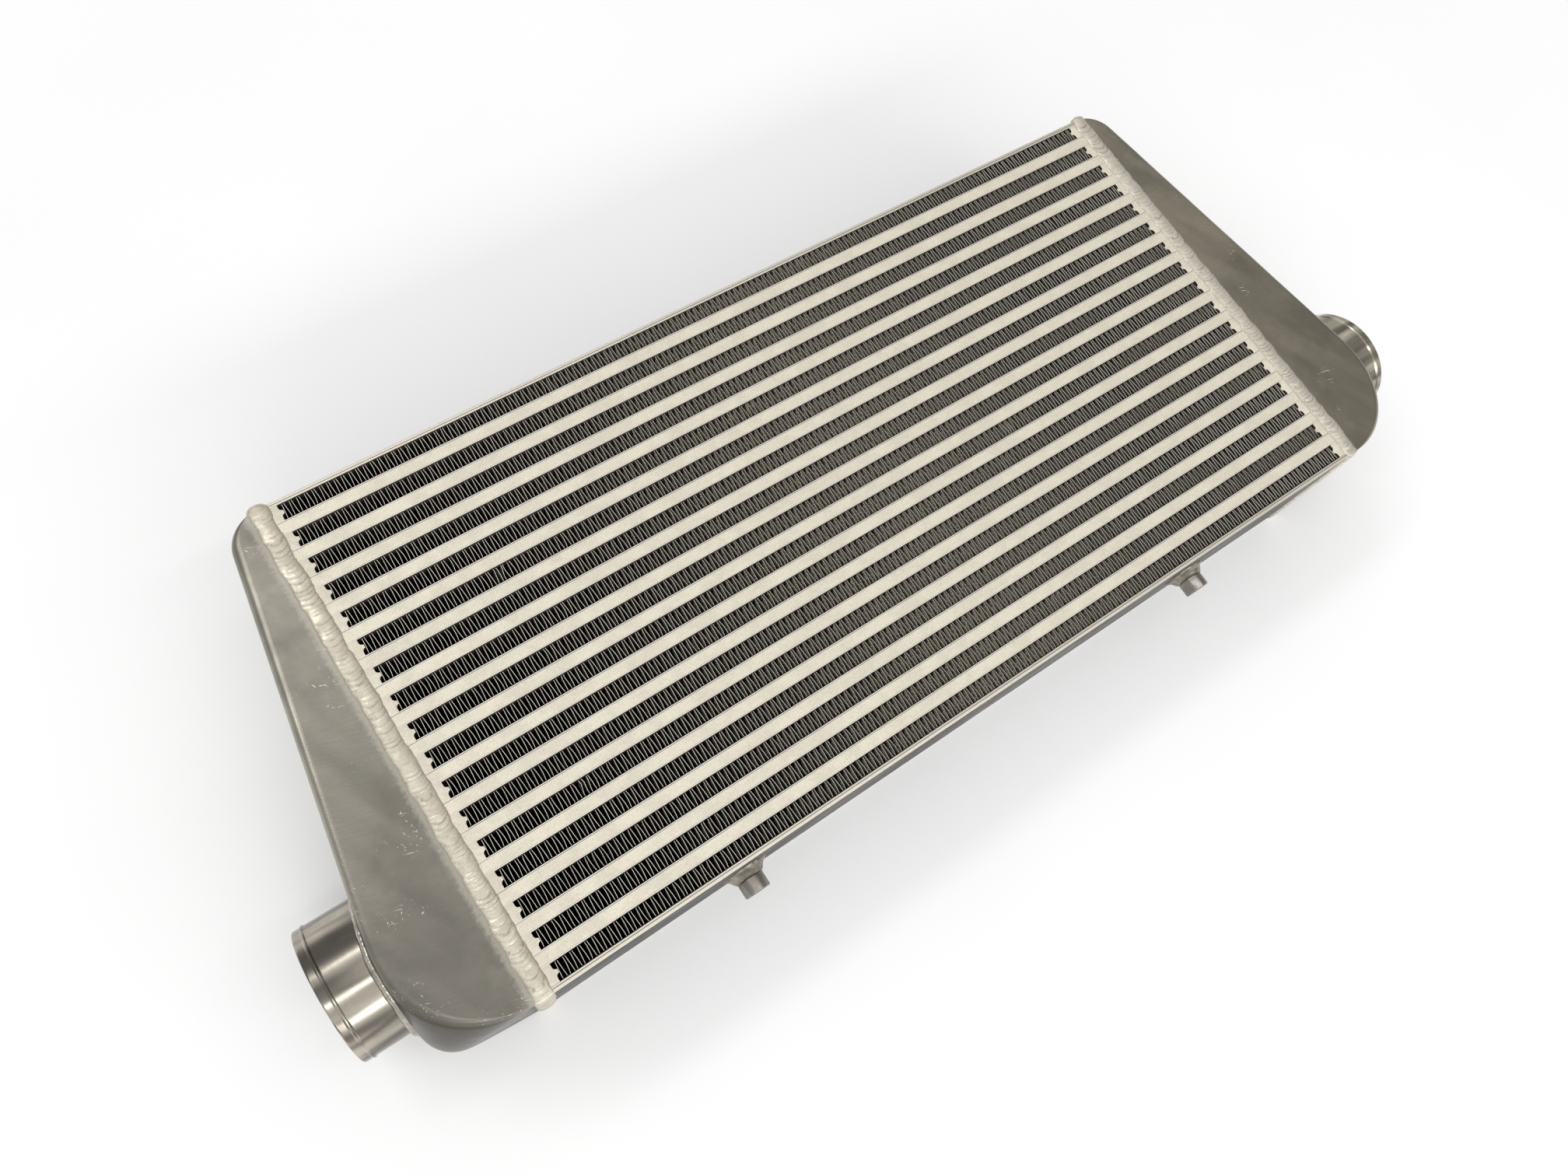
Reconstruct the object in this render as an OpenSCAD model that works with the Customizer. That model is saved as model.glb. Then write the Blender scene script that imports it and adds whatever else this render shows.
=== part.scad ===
// Air-to-air intercooler with a brazed bar-and-plate core between two cast tanks.
// Millimetres. X runs along the core, Y across its rows, and Z out of its front face.
// The core lies on its back, on the weld beads that stand proud of its rear face.

/* [Core] */
// Length of the core between the tanks
core_l = 600; // [500:10:700]
// Thickness of the core from the rear face to the front face
core_t = 100; // [96:1:110]
// Height of a cooling row between its parting sheets
row_h = 10; // [9:0.25:12]
// Height of a closed charge channel between its parting sheets
channel_h = 6.75; // [6:0.25:8]
// Thickness of a parting sheet
sheet_t = 0.5; // [0.4:0.1:0.8]
// Thickness of the end sheet along the top and the bottom
end_t = 3; // [2:0.5:4]

/* [Bars] */
// Depth of the bars that close the charge channels at the front and the rear
bar_w = 6.5; // [5:0.5:8]
// Width of the short bars that close a cooling row at its ends
close_w = 10; // [8:0.5:12]
// How far the rib on a closing bar stands towards the fins
rib_l = 1.9; // [1:0.1:2.2]
// Height of that rib at its tip
rib_h = 2; // [1:0.25:3]

/* [Fins] */
// Distance between neighbouring legs of a cooling fin
fin_pitch = 2.125; // [2:0.125:3]
// Thickness of the cooling fin, measured along the row
fin_t = 0.1875; // [0.125:0.0625:0.25]
// How far the cooling fins stay behind the front and rear faces
fin_inset = 0.5; // [0.25:0.25:2]
// Distance between neighbouring legs of a charge fin
turb_pitch = 2.5; // [2.5:0.5:4]
// Thickness of the charge fin, measured across the channel
turb_t = 0.25; // [0.125:0.125:0.5]

/* [Tanks] */
// How far a tank reaches out of the core at its shallow end
top_reach = 19; // [14:1:26]
// How far a tank reaches out of the core beside the pipe
pipe_reach = 60; // [56:1:64]
// Wall of the casting
tank_wall = 3; // [2.5:0.25:4]
// Corner radius of the casting at its shallow end
top_r = 20; // [14:1:22]
// Corner radius at the pipe end, halfway through the thickness
side_r = 20; // [12:1:22]
// Corner radius at the pipe end, on the front and rear faces
face_r = 55; // [44:1:55]
// Rounding between the faces and the outer wall
edge_r = 5.5; // [5:0.5:8]

/* [Pipes] */
// Outer diameter of the hose pipe
pipe_d = 76; // [70:1:78]
// Wall of the pipe
pipe_wall = 2; // [1.5:0.25:3]
// Distance of the pipe's rim from the tank's outer wall
pipe_out = 28.5; // [24:0.5:45]
// Distance of the pipe's axis from the bottom of the core
pipe_low = 63.5; // [62.5:0.5:70]
// Height of the rolled bead above the pipe
bead_h = 0.6; // [0.4:0.1:1]
// Width of the rolled bead
bead_w = 2.4; // [2:0.2:4]
// Distance of the bead's centre line from the rim
bead_in = 5.5; // [4:0.5:10]

/* [Bosses] */
// Distance between the two mounting bosses
boss_gap = 350; // [200:10:400]
// Diameter of a boss
boss_d = 16; // [14:1:22]
// Height of a boss above the bottom of the core
boss_h = 15; // [12:1:20]
// Diameter of the hole that is tapped for the mounting bolt
tap_d = 6.8; // [5:0.1:8.5]
// Depth of that hole
tap_depth = 12; // [10:1:12]

/* [Welds] */
// Width of the bead between the core and a tank
weld_w = 11; // [9:1:13]
// Height of that bead above the faces
weld_rise = 1.8; // [1.2:0.1:2.2]
// Radius of the bead round a pipe
pipe_weld_r = 4; // [3.5:0.5:5]
// Leg of the fillet round a boss
boss_weld_leg = 6.5; // [5:0.5:7]

/* [Hidden] */
$fn = 64;
// Open rows with a cooling fin each. There is a charge channel between each two of them.
fin_rows = 17;

// One row and one channel with their two parting sheets
stack_pitch = row_h + channel_h + 2 * sheet_t;
core_h = fin_rows * row_h + (fin_rows - 1) * (channel_h + 2 * sheet_t) + 2 * end_t;
// The outline in Y runs from the boss tips to the weld bead on top, with the origin halfway
core_y = (boss_h - weld_rise) / 2;
bottom_y = core_y - core_h / 2;
top_y = core_y + core_h / 2;
// The weld beads on the rear face touch the ground, so the core starts above it
rear_z = weld_rise;
front_z = rear_z + core_t;
mid_z = rear_z + core_t / 2;
end_x = core_l / 2;
wall_x = end_x + pipe_reach;
pipe_y = bottom_y + pipe_low;
pipe_r = pipe_d / 2;
rim_x = wall_x + pipe_out;
// How far the pipe stands inside the tank's outer wall, and how deep its bead sits in that wall
pipe_in = 10;
pipe_weld_in = 0.5;
// How deep the root of the bead round a tank reaches
weld_root = 1.5;

// Lower edges of cooling row k and of charge channel k, counted from the bottom
function row_y(k) = bottom_y + end_t + k * stack_pitch;
function channel_y(k) = row_y(k) + row_h + sheet_t;

// Left-hand pieces are the mirror image of the right-hand ones
module on_side(left) {
  if (left) mirror([1, 0, 0]) children();
  else children();
}

module end_sheet(y) {
  color("lightgray") translate([-end_x, y, rear_z]) cube([core_l, end_t, core_t]);
}

module parting_sheets() {
  color("gainsboro")
    for (k = [0 : fin_rows - 2], y = [row_y(k) + row_h, channel_y(k) + channel_h])
      translate([-end_x, y, rear_z]) cube([core_l, sheet_t, core_t]);
}

module charge_bars(z) {
  color("antiquewhite")
    for (k = [0 : fin_rows - 2])
      translate([-end_x, channel_y(k), z]) cube([core_l, channel_h, bar_w]);
}

// Section of a closing bar: a flat with a rib on its inner edge, whose flanks are hollow.
// The bar's outer edge is at x = 0 and the fins are on the side of negative x.
module closing_section() {
  translate([-close_w, 0]) square([close_w, row_h]);
  translate([-close_w - rib_l, row_h / 2]) difference() {
    translate([0, -rib_h / 2 - rib_l]) square([rib_l, rib_h + 2 * rib_l]);
    for (s = [-1, 1]) translate([0, s * (rib_h / 2 + rib_l)]) circle(rib_l, $fn = 32);
  }
}

module closing_bars(left) {
  color("antiquewhite") on_side(left)
    for (k = [0 : fin_rows - 1])
      translate([end_x, row_y(k), rear_z]) linear_extrude(core_t) closing_section();
}

// Section of a folded strip: legs of thickness t between y = 0 and y = h, a pitch apart.
// Each fold comes to an edge on the sheet that it is brazed to.
module folded_strip(legs, pitch, h, t) {
  // The overlap of two legs at a fold, measured along the height
  fold = t * h / pitch;
  above = [for (k = [0 : legs]) [k * pitch, k % 2 == 0 ? fold : h]];
  below = [for (k = [legs : -1 : 0]) [k * pitch, k % 2 == 0 ? 0 : h - fold]];
  translate([-legs * pitch / 2, 0]) polygon(concat(above, below));
}

// The strip leaves a gap beside the ribs and has an even number of legs
fin_legs = 2 * floor((core_l - 2 * close_w - 2 * rib_l - fin_pitch) / fin_pitch / 2);
turb_legs = 2 * floor((core_t - 2 * bar_w) / turb_pitch / 2);

module cooling_fin(number) {
  color("darkgray") translate([0, row_y(number - 1), rear_z + fin_inset])
    linear_extrude(core_t - 2 * fin_inset) folded_strip(fin_legs, fin_pitch, row_h, fin_t);
}

// The folds of a charge fin run along the channel, from one tank to the other
module charge_fin(number) {
  color("gray") translate([-end_x, channel_y(number - 1), mid_z]) rotate([0, 90, 0])
    linear_extrude(core_l) folded_strip(turb_legs, turb_pitch, channel_h, turb_t);
}

// Points of the arc of radius r that rounds the corner at c between the points a and b
function unit(v) = v / norm(v);
function corner_arc(a, c, b, r, steps) =
  let (u = unit(a - c), v = unit(b - c), half = acos(u * v) / 2,
       start = c + u * r / tan(half),
       mid = c + unit(u + v) * r / sin(half),
       way = u[0] * v[1] > u[1] * v[0] ? -1 : 1,
       arm = start - mid)
  [for (k = [0 : steps])
    let (t = way * (180 - 2 * half) * k / steps)
    mid + [arm[0] * cos(t) - arm[1] * sin(t), arm[0] * sin(t) + arm[1] * cos(t)]];

// Steps of the three rounded corners in a tank's outline: shallow end, bend, pipe end
arc_steps = [6, 3, 12];
// How far the top side falls and the bottom side rises on the way to the outer wall, and the
// shares of the rounding by which these two sides draw in towards the faces
top_fall = 1;
bottom_rise = 3.5;
top_share = 0.4;
bottom_share = 0.6;

// Outline of a tank in X and Y, from the top of the core round to the bottom, moved inwards
// by inset. cut is what the rounding along the faces takes off, and low_r rounds the pipe end.
function tank_outline(inset, cut, low_r) =
  let (off = cut + inset,
       top = [end_x, top_y - inset],
       shallow = [end_x + top_reach - off, top_y - top_fall - top_share * cut - inset],
       bend = [wall_x - off, pipe_y],
       low = [wall_x - off, bottom_y + bottom_rise + bottom_share * cut + inset],
       bottom = [end_x, bottom_y + inset])
  concat([top], corner_arc(top, shallow, bend, top_r - 0.5 * off, arc_steps[0]),
         corner_arc(shallow, bend, low, pipe_d, arc_steps[1]),
         corner_arc(bend, low, bottom, low_r - inset, arc_steps[2]), [bottom]);

// Height above the middle and cut of each level, from the front face down to the rear face.
// The first and last levels make the rounded edges, and those between make the wall.
edge_steps = 4;
wall_steps = 4;
function tank_levels(inset) =
  let (e = edge_r - inset, half = core_t / 2 - inset,
       upper = concat([for (k = [0 : edge_steps])
                        let (phi = 90 * k / edge_steps) [half - e * (1 - cos(phi)), e * (1 - sin(phi))]],
                      [for (k = [1 : wall_steps]) [(half - e) * (1 - k / wall_steps), 0]]))
  concat(upper, [for (k = [len(upper) - 2 : -1 : 0]) [-upper[k][0], upper[k][1]]]);

// Points of the right-hand tank's surface. The corner at the pipe end is blunt on the faces
// and grows sharper towards the middle of the thickness, where it has room for the pipe.
level_count = 2 * (edge_steps + wall_steps) + 1;
outline_count = arc_steps[0] + arc_steps[1] + arc_steps[2] + 5;
function tank_points(inset) =
  [for (level = tank_levels(inset))
    let (share = cos(90 * level[0] / (core_t / 2 - inset)),
         low_r = face_r + (side_r - face_r) * share)
    for (p = tank_outline(inset, level[1], low_r)) [p[0], p[1], mid_z + level[0]]];

// Faces between the levels, and the flat faces at the front and the rear
function skin_faces(from) =
  let (last = from + (level_count - 1) * outline_count)
  concat([for (r = [0 : level_count - 2], n = [0 : outline_count - 2])
           let (a = from + r * outline_count + n, b = a + outline_count)
           each [[a, b, b + 1], [a, b + 1, a + 1]]],
         [[for (n = [0 : outline_count - 1]) from + n]],
         [[for (n = [outline_count - 1 : -1 : 0]) last + n]]);

// Edge of the mouth: down the top side of the levels and back up the bottom side
function mouth_loop(from) =
  concat([for (r = [0 : level_count - 1]) from + r * outline_count],
         [for (r = [level_count - 1 : -1 : 0]) from + (r + 1) * outline_count - 1]);
function flipped(faces) = [for (f = faces) [for (n = [len(f) - 1 : -1 : 0]) f[n]]];

// The casting's outer form as a solid, closed across the mouth
module tank_form() {
  mouth = [for (r = [1 : level_count - 1])
    let (a = (r - 1) * outline_count, b = r * outline_count)
    each [[b - 1, b + outline_count - 1, b], [b - 1, b, a]]];
  polyhedron(tank_points(0), concat(skin_faces(0), mouth));
}

// The casting itself: outer and inner skins, joined by the rim round the mouth
module tank_shell() {
  inner = level_count * outline_count;
  a = mouth_loop(0);
  b = mouth_loop(inner);
  rim = [for (n = [0 : len(a) - 1])
    let (m = (n + 1) % len(a))
    each [[a[m], a[n], b[n]], [a[m], b[n], b[m]]]];
  polyhedron(concat(tank_points(0), tank_points(tank_wall)),
             concat(skin_faces(0), flipped(skin_faces(inner)), rim));
}

module tank(left) {
  color("silver") on_side(left) difference() {
    tank_shell();
    // The hole that the pipe is let into
    translate([end_x + pipe_reach / 2, pipe_y, mid_z]) rotate([0, 90, 0])
      cylinder(h = pipe_reach, d = pipe_d, $fn = 128);
  }
}

// Wave of the rolled bead in a section with the radius on X: an arc that stands out of the
// line at radius r by the bead's height
module bead_wave(r) {
  arc_r = (bead_w * bead_w / 4 + bead_h * bead_h) / (2 * bead_h);
  intersection() {
    translate([r + bead_h - arc_r, 0]) circle(arc_r, $fn = 128);
    translate([r - pipe_wall / 2, -bead_w / 2]) square([bead_h + pipe_wall / 2, bead_w]);
  }
}

module pipe(left) {
  pipe_len = pipe_out + pipe_in;
  color("whitesmoke") on_side(left)
    translate([rim_x - pipe_len, pipe_y, mid_z]) rotate([0, 90, 0]) rotate_extrude($fn = 128)
      difference() {
        union() {
          translate([pipe_r - pipe_wall, 0]) square([pipe_wall, pipe_len]);
          translate([0, pipe_len - bead_in]) bead_wave(pipe_r);
        }
        // The bead is rolled out of the wall, so the inside is hollow behind it
        translate([0, pipe_len - bead_in]) bead_wave(pipe_r - pipe_wall);
      }
}

module boss(left) {
  chamfer = 0.8;
  color("silver") on_side(left) translate([boss_gap / 2, bottom_y, mid_z]) rotate([90, 0, 0])
    difference() {
      union() {
        cylinder(h = boss_h - chamfer, d = boss_d);
        translate([0, 0, boss_h - chamfer])
          cylinder(h = chamfer, d1 = boss_d, d2 = boss_d - 2 * chamfer);
      }
      translate([0, 0, boss_h - tap_depth]) cylinder(h = tap_depth + 1, d = tap_d);
    }
}

// Section of a weld bead: the part of a circle above the surface at y = 0, where it has the
// width of the bead, and a root below the surface on the side of positive x
module bead_section(root) {
  arc_r = (weld_w * weld_w / 4 + weld_rise * weld_rise) / (2 * weld_rise);
  intersection() {
    translate([0, weld_rise - arc_r]) circle(arc_r, $fn = 128);
    union() {
      translate([-weld_w, 0]) square([2 * weld_w, weld_rise]);
      translate([0, -root]) square([weld_w, weld_rise + root]);
    }
  }
}

// One bead right round the joint: four straight runs and a quarter turn at each corner. Its
// root fills the place where the sides of the casting fall away from the bead.
module tank_weld(left) {
  color("whitesmoke") on_side(left) difference() {
    translate([end_x, core_y, mid_z])
      for (turn = [0, 1], flip = [0, 1]) rotate([flip * 180 + turn * 90, 0, 0]) {
        across = turn == 0 ? core_h : core_t;
        out = turn == 0 ? core_t / 2 : core_h / 2;
        // A straight run along Y on the face at height out
        translate([0, across / 2, out]) rotate([90, 0, 0])
          linear_extrude(across) bead_section(weld_root);
        // The quarter turn round the edge at the end of that run
        translate([0, across / 2, out]) rotate([0, 90, 0]) rotate([0, 0, 90])
          rotate_extrude(angle = 90) rotate([0, 0, -90]) bead_section(0);
      }
    tank_form();
  }
}

// A bead between the pipe and the casting. Its upper half leans with the slanting wall and its
// lower half is upright, and the two meet in a mitre beside the pipe.
module pipe_weld(left) {
  wall_lean = atan((pipe_reach - top_reach) / (top_y - pipe_y));
  room = pipe_d + 2 * pipe_weld_r;
  color("whitesmoke") on_side(left) difference() {
    translate([wall_x - pipe_weld_in, pipe_y, mid_z]) for (upper = [0, 1]) intersection() {
      rotate([0, 90, upper * wall_lean])
        rotate_extrude($fn = 96) translate([pipe_r, 0]) circle(pipe_weld_r, $fn = 32);
      rotate([0, 0, wall_lean / 2]) translate([-room / 2, (upper - 1) * room, -room / 2])
        cube(room);
    }
    translate([wall_x - pipe_in, pipe_y, mid_z]) rotate([0, 90, 0])
      cylinder(h = 2 * pipe_in, d = pipe_d, $fn = 128);
    tank_form();
  }
}

// A hollow fillet that runs round the foot of a boss
module boss_weld(left) {
  leg = boss_weld_leg;
  toe = 0.5;
  // The hollow is an arc through both toes. Its centre is that far out along the diagonal.
  hollow_out = 4;
  hollow_c = (leg + toe) / 2 + hollow_out;
  hollow_r = norm([hollow_c - leg, hollow_c - toe]);
  color("whitesmoke") on_side(left) translate([boss_gap / 2, bottom_y, mid_z])
    rotate([90, 0, 0]) rotate_extrude() translate([boss_d / 2, 0]) difference() {
      square([leg, leg]);
      translate([hollow_c, hollow_c]) circle(hollow_r, $fn = 64);
    }
}

end_sheet(top_y - end_t);  // end_sheet_top
end_sheet(bottom_y);  // end_sheet_bottom
parting_sheets();
charge_bars(front_z - bar_w);  // charge_bars_front
charge_bars(rear_z);  // charge_bars_rear
closing_bars(true);  // closing_bars_left
closing_bars(false);  // closing_bars_right
cooling_fin(1);  // cooling_fin_01
cooling_fin(2);  // cooling_fin_02
cooling_fin(3);  // cooling_fin_03
cooling_fin(4);  // cooling_fin_04
cooling_fin(5);  // cooling_fin_05
cooling_fin(6);  // cooling_fin_06
cooling_fin(7);  // cooling_fin_07
cooling_fin(8);  // cooling_fin_08
cooling_fin(9);  // cooling_fin_09
cooling_fin(10);  // cooling_fin_10
cooling_fin(11);  // cooling_fin_11
cooling_fin(12);  // cooling_fin_12
cooling_fin(13);  // cooling_fin_13
cooling_fin(14);  // cooling_fin_14
cooling_fin(15);  // cooling_fin_15
cooling_fin(16);  // cooling_fin_16
cooling_fin(17);  // cooling_fin_17
charge_fin(1);  // charge_fin_01
charge_fin(2);  // charge_fin_02
charge_fin(3);  // charge_fin_03
charge_fin(4);  // charge_fin_04
charge_fin(5);  // charge_fin_05
charge_fin(6);  // charge_fin_06
charge_fin(7);  // charge_fin_07
charge_fin(8);  // charge_fin_08
charge_fin(9);  // charge_fin_09
charge_fin(10);  // charge_fin_10
charge_fin(11);  // charge_fin_11
charge_fin(12);  // charge_fin_12
charge_fin(13);  // charge_fin_13
charge_fin(14);  // charge_fin_14
charge_fin(15);  // charge_fin_15
charge_fin(16);  // charge_fin_16
tank(true);  // tank_left
tank(false);  // tank_right
pipe(true);  // pipe_left
pipe(false);  // pipe_right
boss(true);  // boss_left
boss(false);  // boss_right
tank_weld(true);  // tank_weld_left
tank_weld(false);  // tank_weld_right
pipe_weld(true);  // pipe_weld_left
pipe_weld(false);  // pipe_weld_right
boss_weld(true);  // boss_weld_left
boss_weld(false);  // boss_weld_right
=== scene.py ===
"""Looks of an air-to-air intercooler: a brazed bar-and-plate core between two cast tanks.

The packed model gives the exact sizes. This script dresses it: it makes the folded and
louvred cooling fins, the rippled weld beads, the smooth castings, the turned pipes and
the tapped bosses, and gives every surface its finish. All lengths are in metres.
"""

from __future__ import annotations

import logging
import math
from contextlib import contextmanager
from dataclasses import dataclass, field
from enum import Enum
from typing import Iterator, Sequence, Union

import bmesh
import bpy
from bpy.types import ID, Material, Mesh, Node, NodeSocket, NodeTree, Object
from mathutils import Matrix, Vector

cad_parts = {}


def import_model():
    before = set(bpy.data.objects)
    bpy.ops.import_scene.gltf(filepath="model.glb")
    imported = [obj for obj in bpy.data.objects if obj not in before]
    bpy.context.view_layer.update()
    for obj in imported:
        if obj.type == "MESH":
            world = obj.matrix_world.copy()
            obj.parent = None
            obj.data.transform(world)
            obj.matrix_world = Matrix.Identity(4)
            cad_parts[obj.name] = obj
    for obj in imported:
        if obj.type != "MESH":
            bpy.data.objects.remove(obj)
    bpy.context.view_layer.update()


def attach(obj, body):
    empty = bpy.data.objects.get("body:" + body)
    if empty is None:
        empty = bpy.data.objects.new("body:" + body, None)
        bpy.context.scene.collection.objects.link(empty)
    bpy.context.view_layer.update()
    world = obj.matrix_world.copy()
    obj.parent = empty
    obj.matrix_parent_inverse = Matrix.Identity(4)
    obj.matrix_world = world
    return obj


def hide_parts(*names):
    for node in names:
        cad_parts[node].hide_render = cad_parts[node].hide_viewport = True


log = logging.getLogger("intercooler")

Pair = tuple[float, float]
Triple = tuple[float, float, float]
Value = Union["Num", float, int, bool, tuple, str, Material]
MM = 0.001
SAME_POINT = 1e-6
FADE = (1.0, 0.0)
CORE_ENDS_X = (-0.3, 0.3)


class Side(Enum):
    """The end of the core that a piece sits on, with its sign along X."""

    LEFT = -1
    RIGHT = 1

    @property
    def word(self) -> str:
        """The side's name as the nodes spell it."""
        return self.name.lower()


# ---------------------------------------------------------------- node trees


def spelled(field_name: str) -> str:
    """Returns the name of the tree's input for a field, such as Half Width for half_width."""
    return field_name.replace("_", " ").title()


class Num:
    """A number or vector in a node tree. Its arithmetic adds the nodes that work it out."""

    def __init__(self, graph: Graph, socket: NodeSocket) -> None:
        """Keeps the tree and the socket that the value comes out of."""
        self.graph, self.socket = graph, socket

    def op(self, operation: str, *others: Value) -> Num:
        """Adds a Math node with this value first."""
        return self.graph.math(operation, self, *others)

    def __add__(self, other: Value) -> Num:
        """Adds."""
        return self.op("ADD", other)

    def __sub__(self, other: Value) -> Num:
        """Subtracts."""
        return self.op("SUBTRACT", other)

    def __rsub__(self, other: float) -> Num:
        """Subtracts this value from a constant."""
        return self.graph.math("SUBTRACT", other, self)

    def __mul__(self, other: Value) -> Num:
        """Multiplies."""
        return self.op("MULTIPLY", other)

    def __truediv__(self, other: Value) -> Num:
        """Divides."""
        return self.op("DIVIDE", other)

    def __abs__(self) -> Num:
        """Takes the sign away."""
        return self.op("ABSOLUTE")

    def madd(self, factor: Value, more: Value) -> Num:
        """Multiplies, then adds."""
        return self.op("MULTIPLY_ADD", factor, more)

    def clamp(self) -> Num:
        """Keeps the result of the last step between 0 and 1."""
        self.socket.node.use_clamp = True
        return self

    def remap(self, old: tuple, new: Pair = (0.0, 1.0), smooth: bool = False) -> Num:
        """Maps the value from one range to another, clamped at both ends.

        Args:
            old: the two ends of the old range.
            new: the two ends of the new one.
            smooth: whether it eases in and out.

        Returns:
            The mapped value.
        """
        ends = {0: self, 1: old[0], 2: old[1], 3: new[0], 4: new[1]}
        kind = "SMOOTHSTEP" if smooth else "LINEAR"
        return self.graph.out("ShaderNodeMapRange", ends, interpolation_type=kind)

    def parts(self) -> tuple[Num, Num, Num]:
        """Returns the three numbers of a vector."""
        x, y, z = self.graph.node("ShaderNodeSeparateXYZ", {0: self}).outputs
        return Num(self.graph, x), Num(self.graph, y), Num(self.graph, z)


class Graph:
    """A node tree under construction, with short ways to add and join nodes."""

    def __init__(self, tree: NodeTree) -> None:
        """Keeps the tree that nodes are added to."""
        self.tree = tree

    def put(self, socket: NodeSocket, value: Value) -> None:
        """Links a value to a socket, or sets it there where it is a constant.

        Args:
            socket: the socket of a node.
            value: what it gets.
        """
        if isinstance(value, Num):
            self.tree.links.new(value.socket, socket)
        else:
            socket.default_value = value

    def node(self, kind: str, inputs: dict | None = None, **settings: object) -> Node:
        """Adds a node.

        Args:
            kind: the node's type name.
            inputs: a value for each socket, by its name or number.
            settings: the node's own properties.

        Returns:
            The new node.
        """
        made = self.tree.nodes.new(kind)
        for name, setting in settings.items():
            setattr(made, name, setting)
        for key, value in (inputs or {}).items():
            self.put(made.inputs[key], value)
        return made

    def out(self, kind: str, inputs: dict | None = None, output: int | str = 0, **settings: object) -> Num:
        """Adds a node and returns one of its outputs."""
        return Num(self, self.node(kind, inputs, **settings).outputs[output])

    def math(self, operation: str, *values: Value) -> Num:
        """Adds a Math node."""
        return self.out("ShaderNodeMath", dict(enumerate(values)), operation=operation)

    def vmath(self, operation: str, *values: Value) -> Num:
        """Adds a Vector Math node."""
        return self.out("ShaderNodeVectorMath", dict(enumerate(values)), operation=operation)

    def scaled(self, vector: Value, scale: Value) -> Num:
        """Returns a vector times a number."""
        return self.out("ShaderNodeVectorMath", {0: vector, 3: scale}, operation="SCALE")

    def vector(self, x: Value = 0.0, y: Value = 0.0, z: Value = 0.0) -> Num:
        """Returns a vector made of three numbers."""
        return self.out("ShaderNodeCombineXYZ", {0: x, 1: y, 2: z})

    def noise(self, vector: Value, scale: Value, detail: float = 2.0, roughness: float = 0.5) -> Num:
        """Returns a noise value around 0.5 at each point."""
        inputs = {"Vector": vector, "Scale": scale, "Detail": detail, "Roughness": roughness}
        return self.out("ShaderNodeTexNoise", inputs)

    def noise_along(self, place: Value, detail: float = 1.0) -> Num:
        """Returns a noise value around 0.5 for a number."""
        inputs = {"W": place, "Scale": 1.0, "Detail": detail}
        return self.out("ShaderNodeTexNoise", inputs, noise_dimensions="1D")


class Group(Graph):
    """A node group with named inputs and one output."""

    def __init__(self, name: str, kind: str, inputs: Sequence[tuple[str, str, Value]], output: str) -> None:
        """Makes the group and its sockets.

        Args:
            name: the group's name.
            kind: the type of its tree.
            inputs: name, kind of socket and default of each input.
            output: kind of socket of the output.
        """
        super().__init__(bpy.data.node_groups.new(name, kind))
        face = self.tree.interface
        for title, socket, default in inputs:
            made = face.new_socket(title, in_out="INPUT", socket_type="NodeSocket" + socket)
            if default is not None:
                made.default_value = default
        face.new_socket("Result", in_out="OUTPUT", socket_type="NodeSocket" + output)
        self.entry = self.tree.nodes.new("NodeGroupInput")
        self.exit = self.tree.nodes.new("NodeGroupOutput")

    def size(self, title: str) -> Num:
        """Returns the named input inside the group."""
        return Num(self, self.entry.outputs[title])

    def end(self, value: Num) -> NodeTree:
        """Sends the value out of the group and returns the finished tree."""
        self.put(self.exit.inputs[0], value)
        return self.tree


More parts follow.
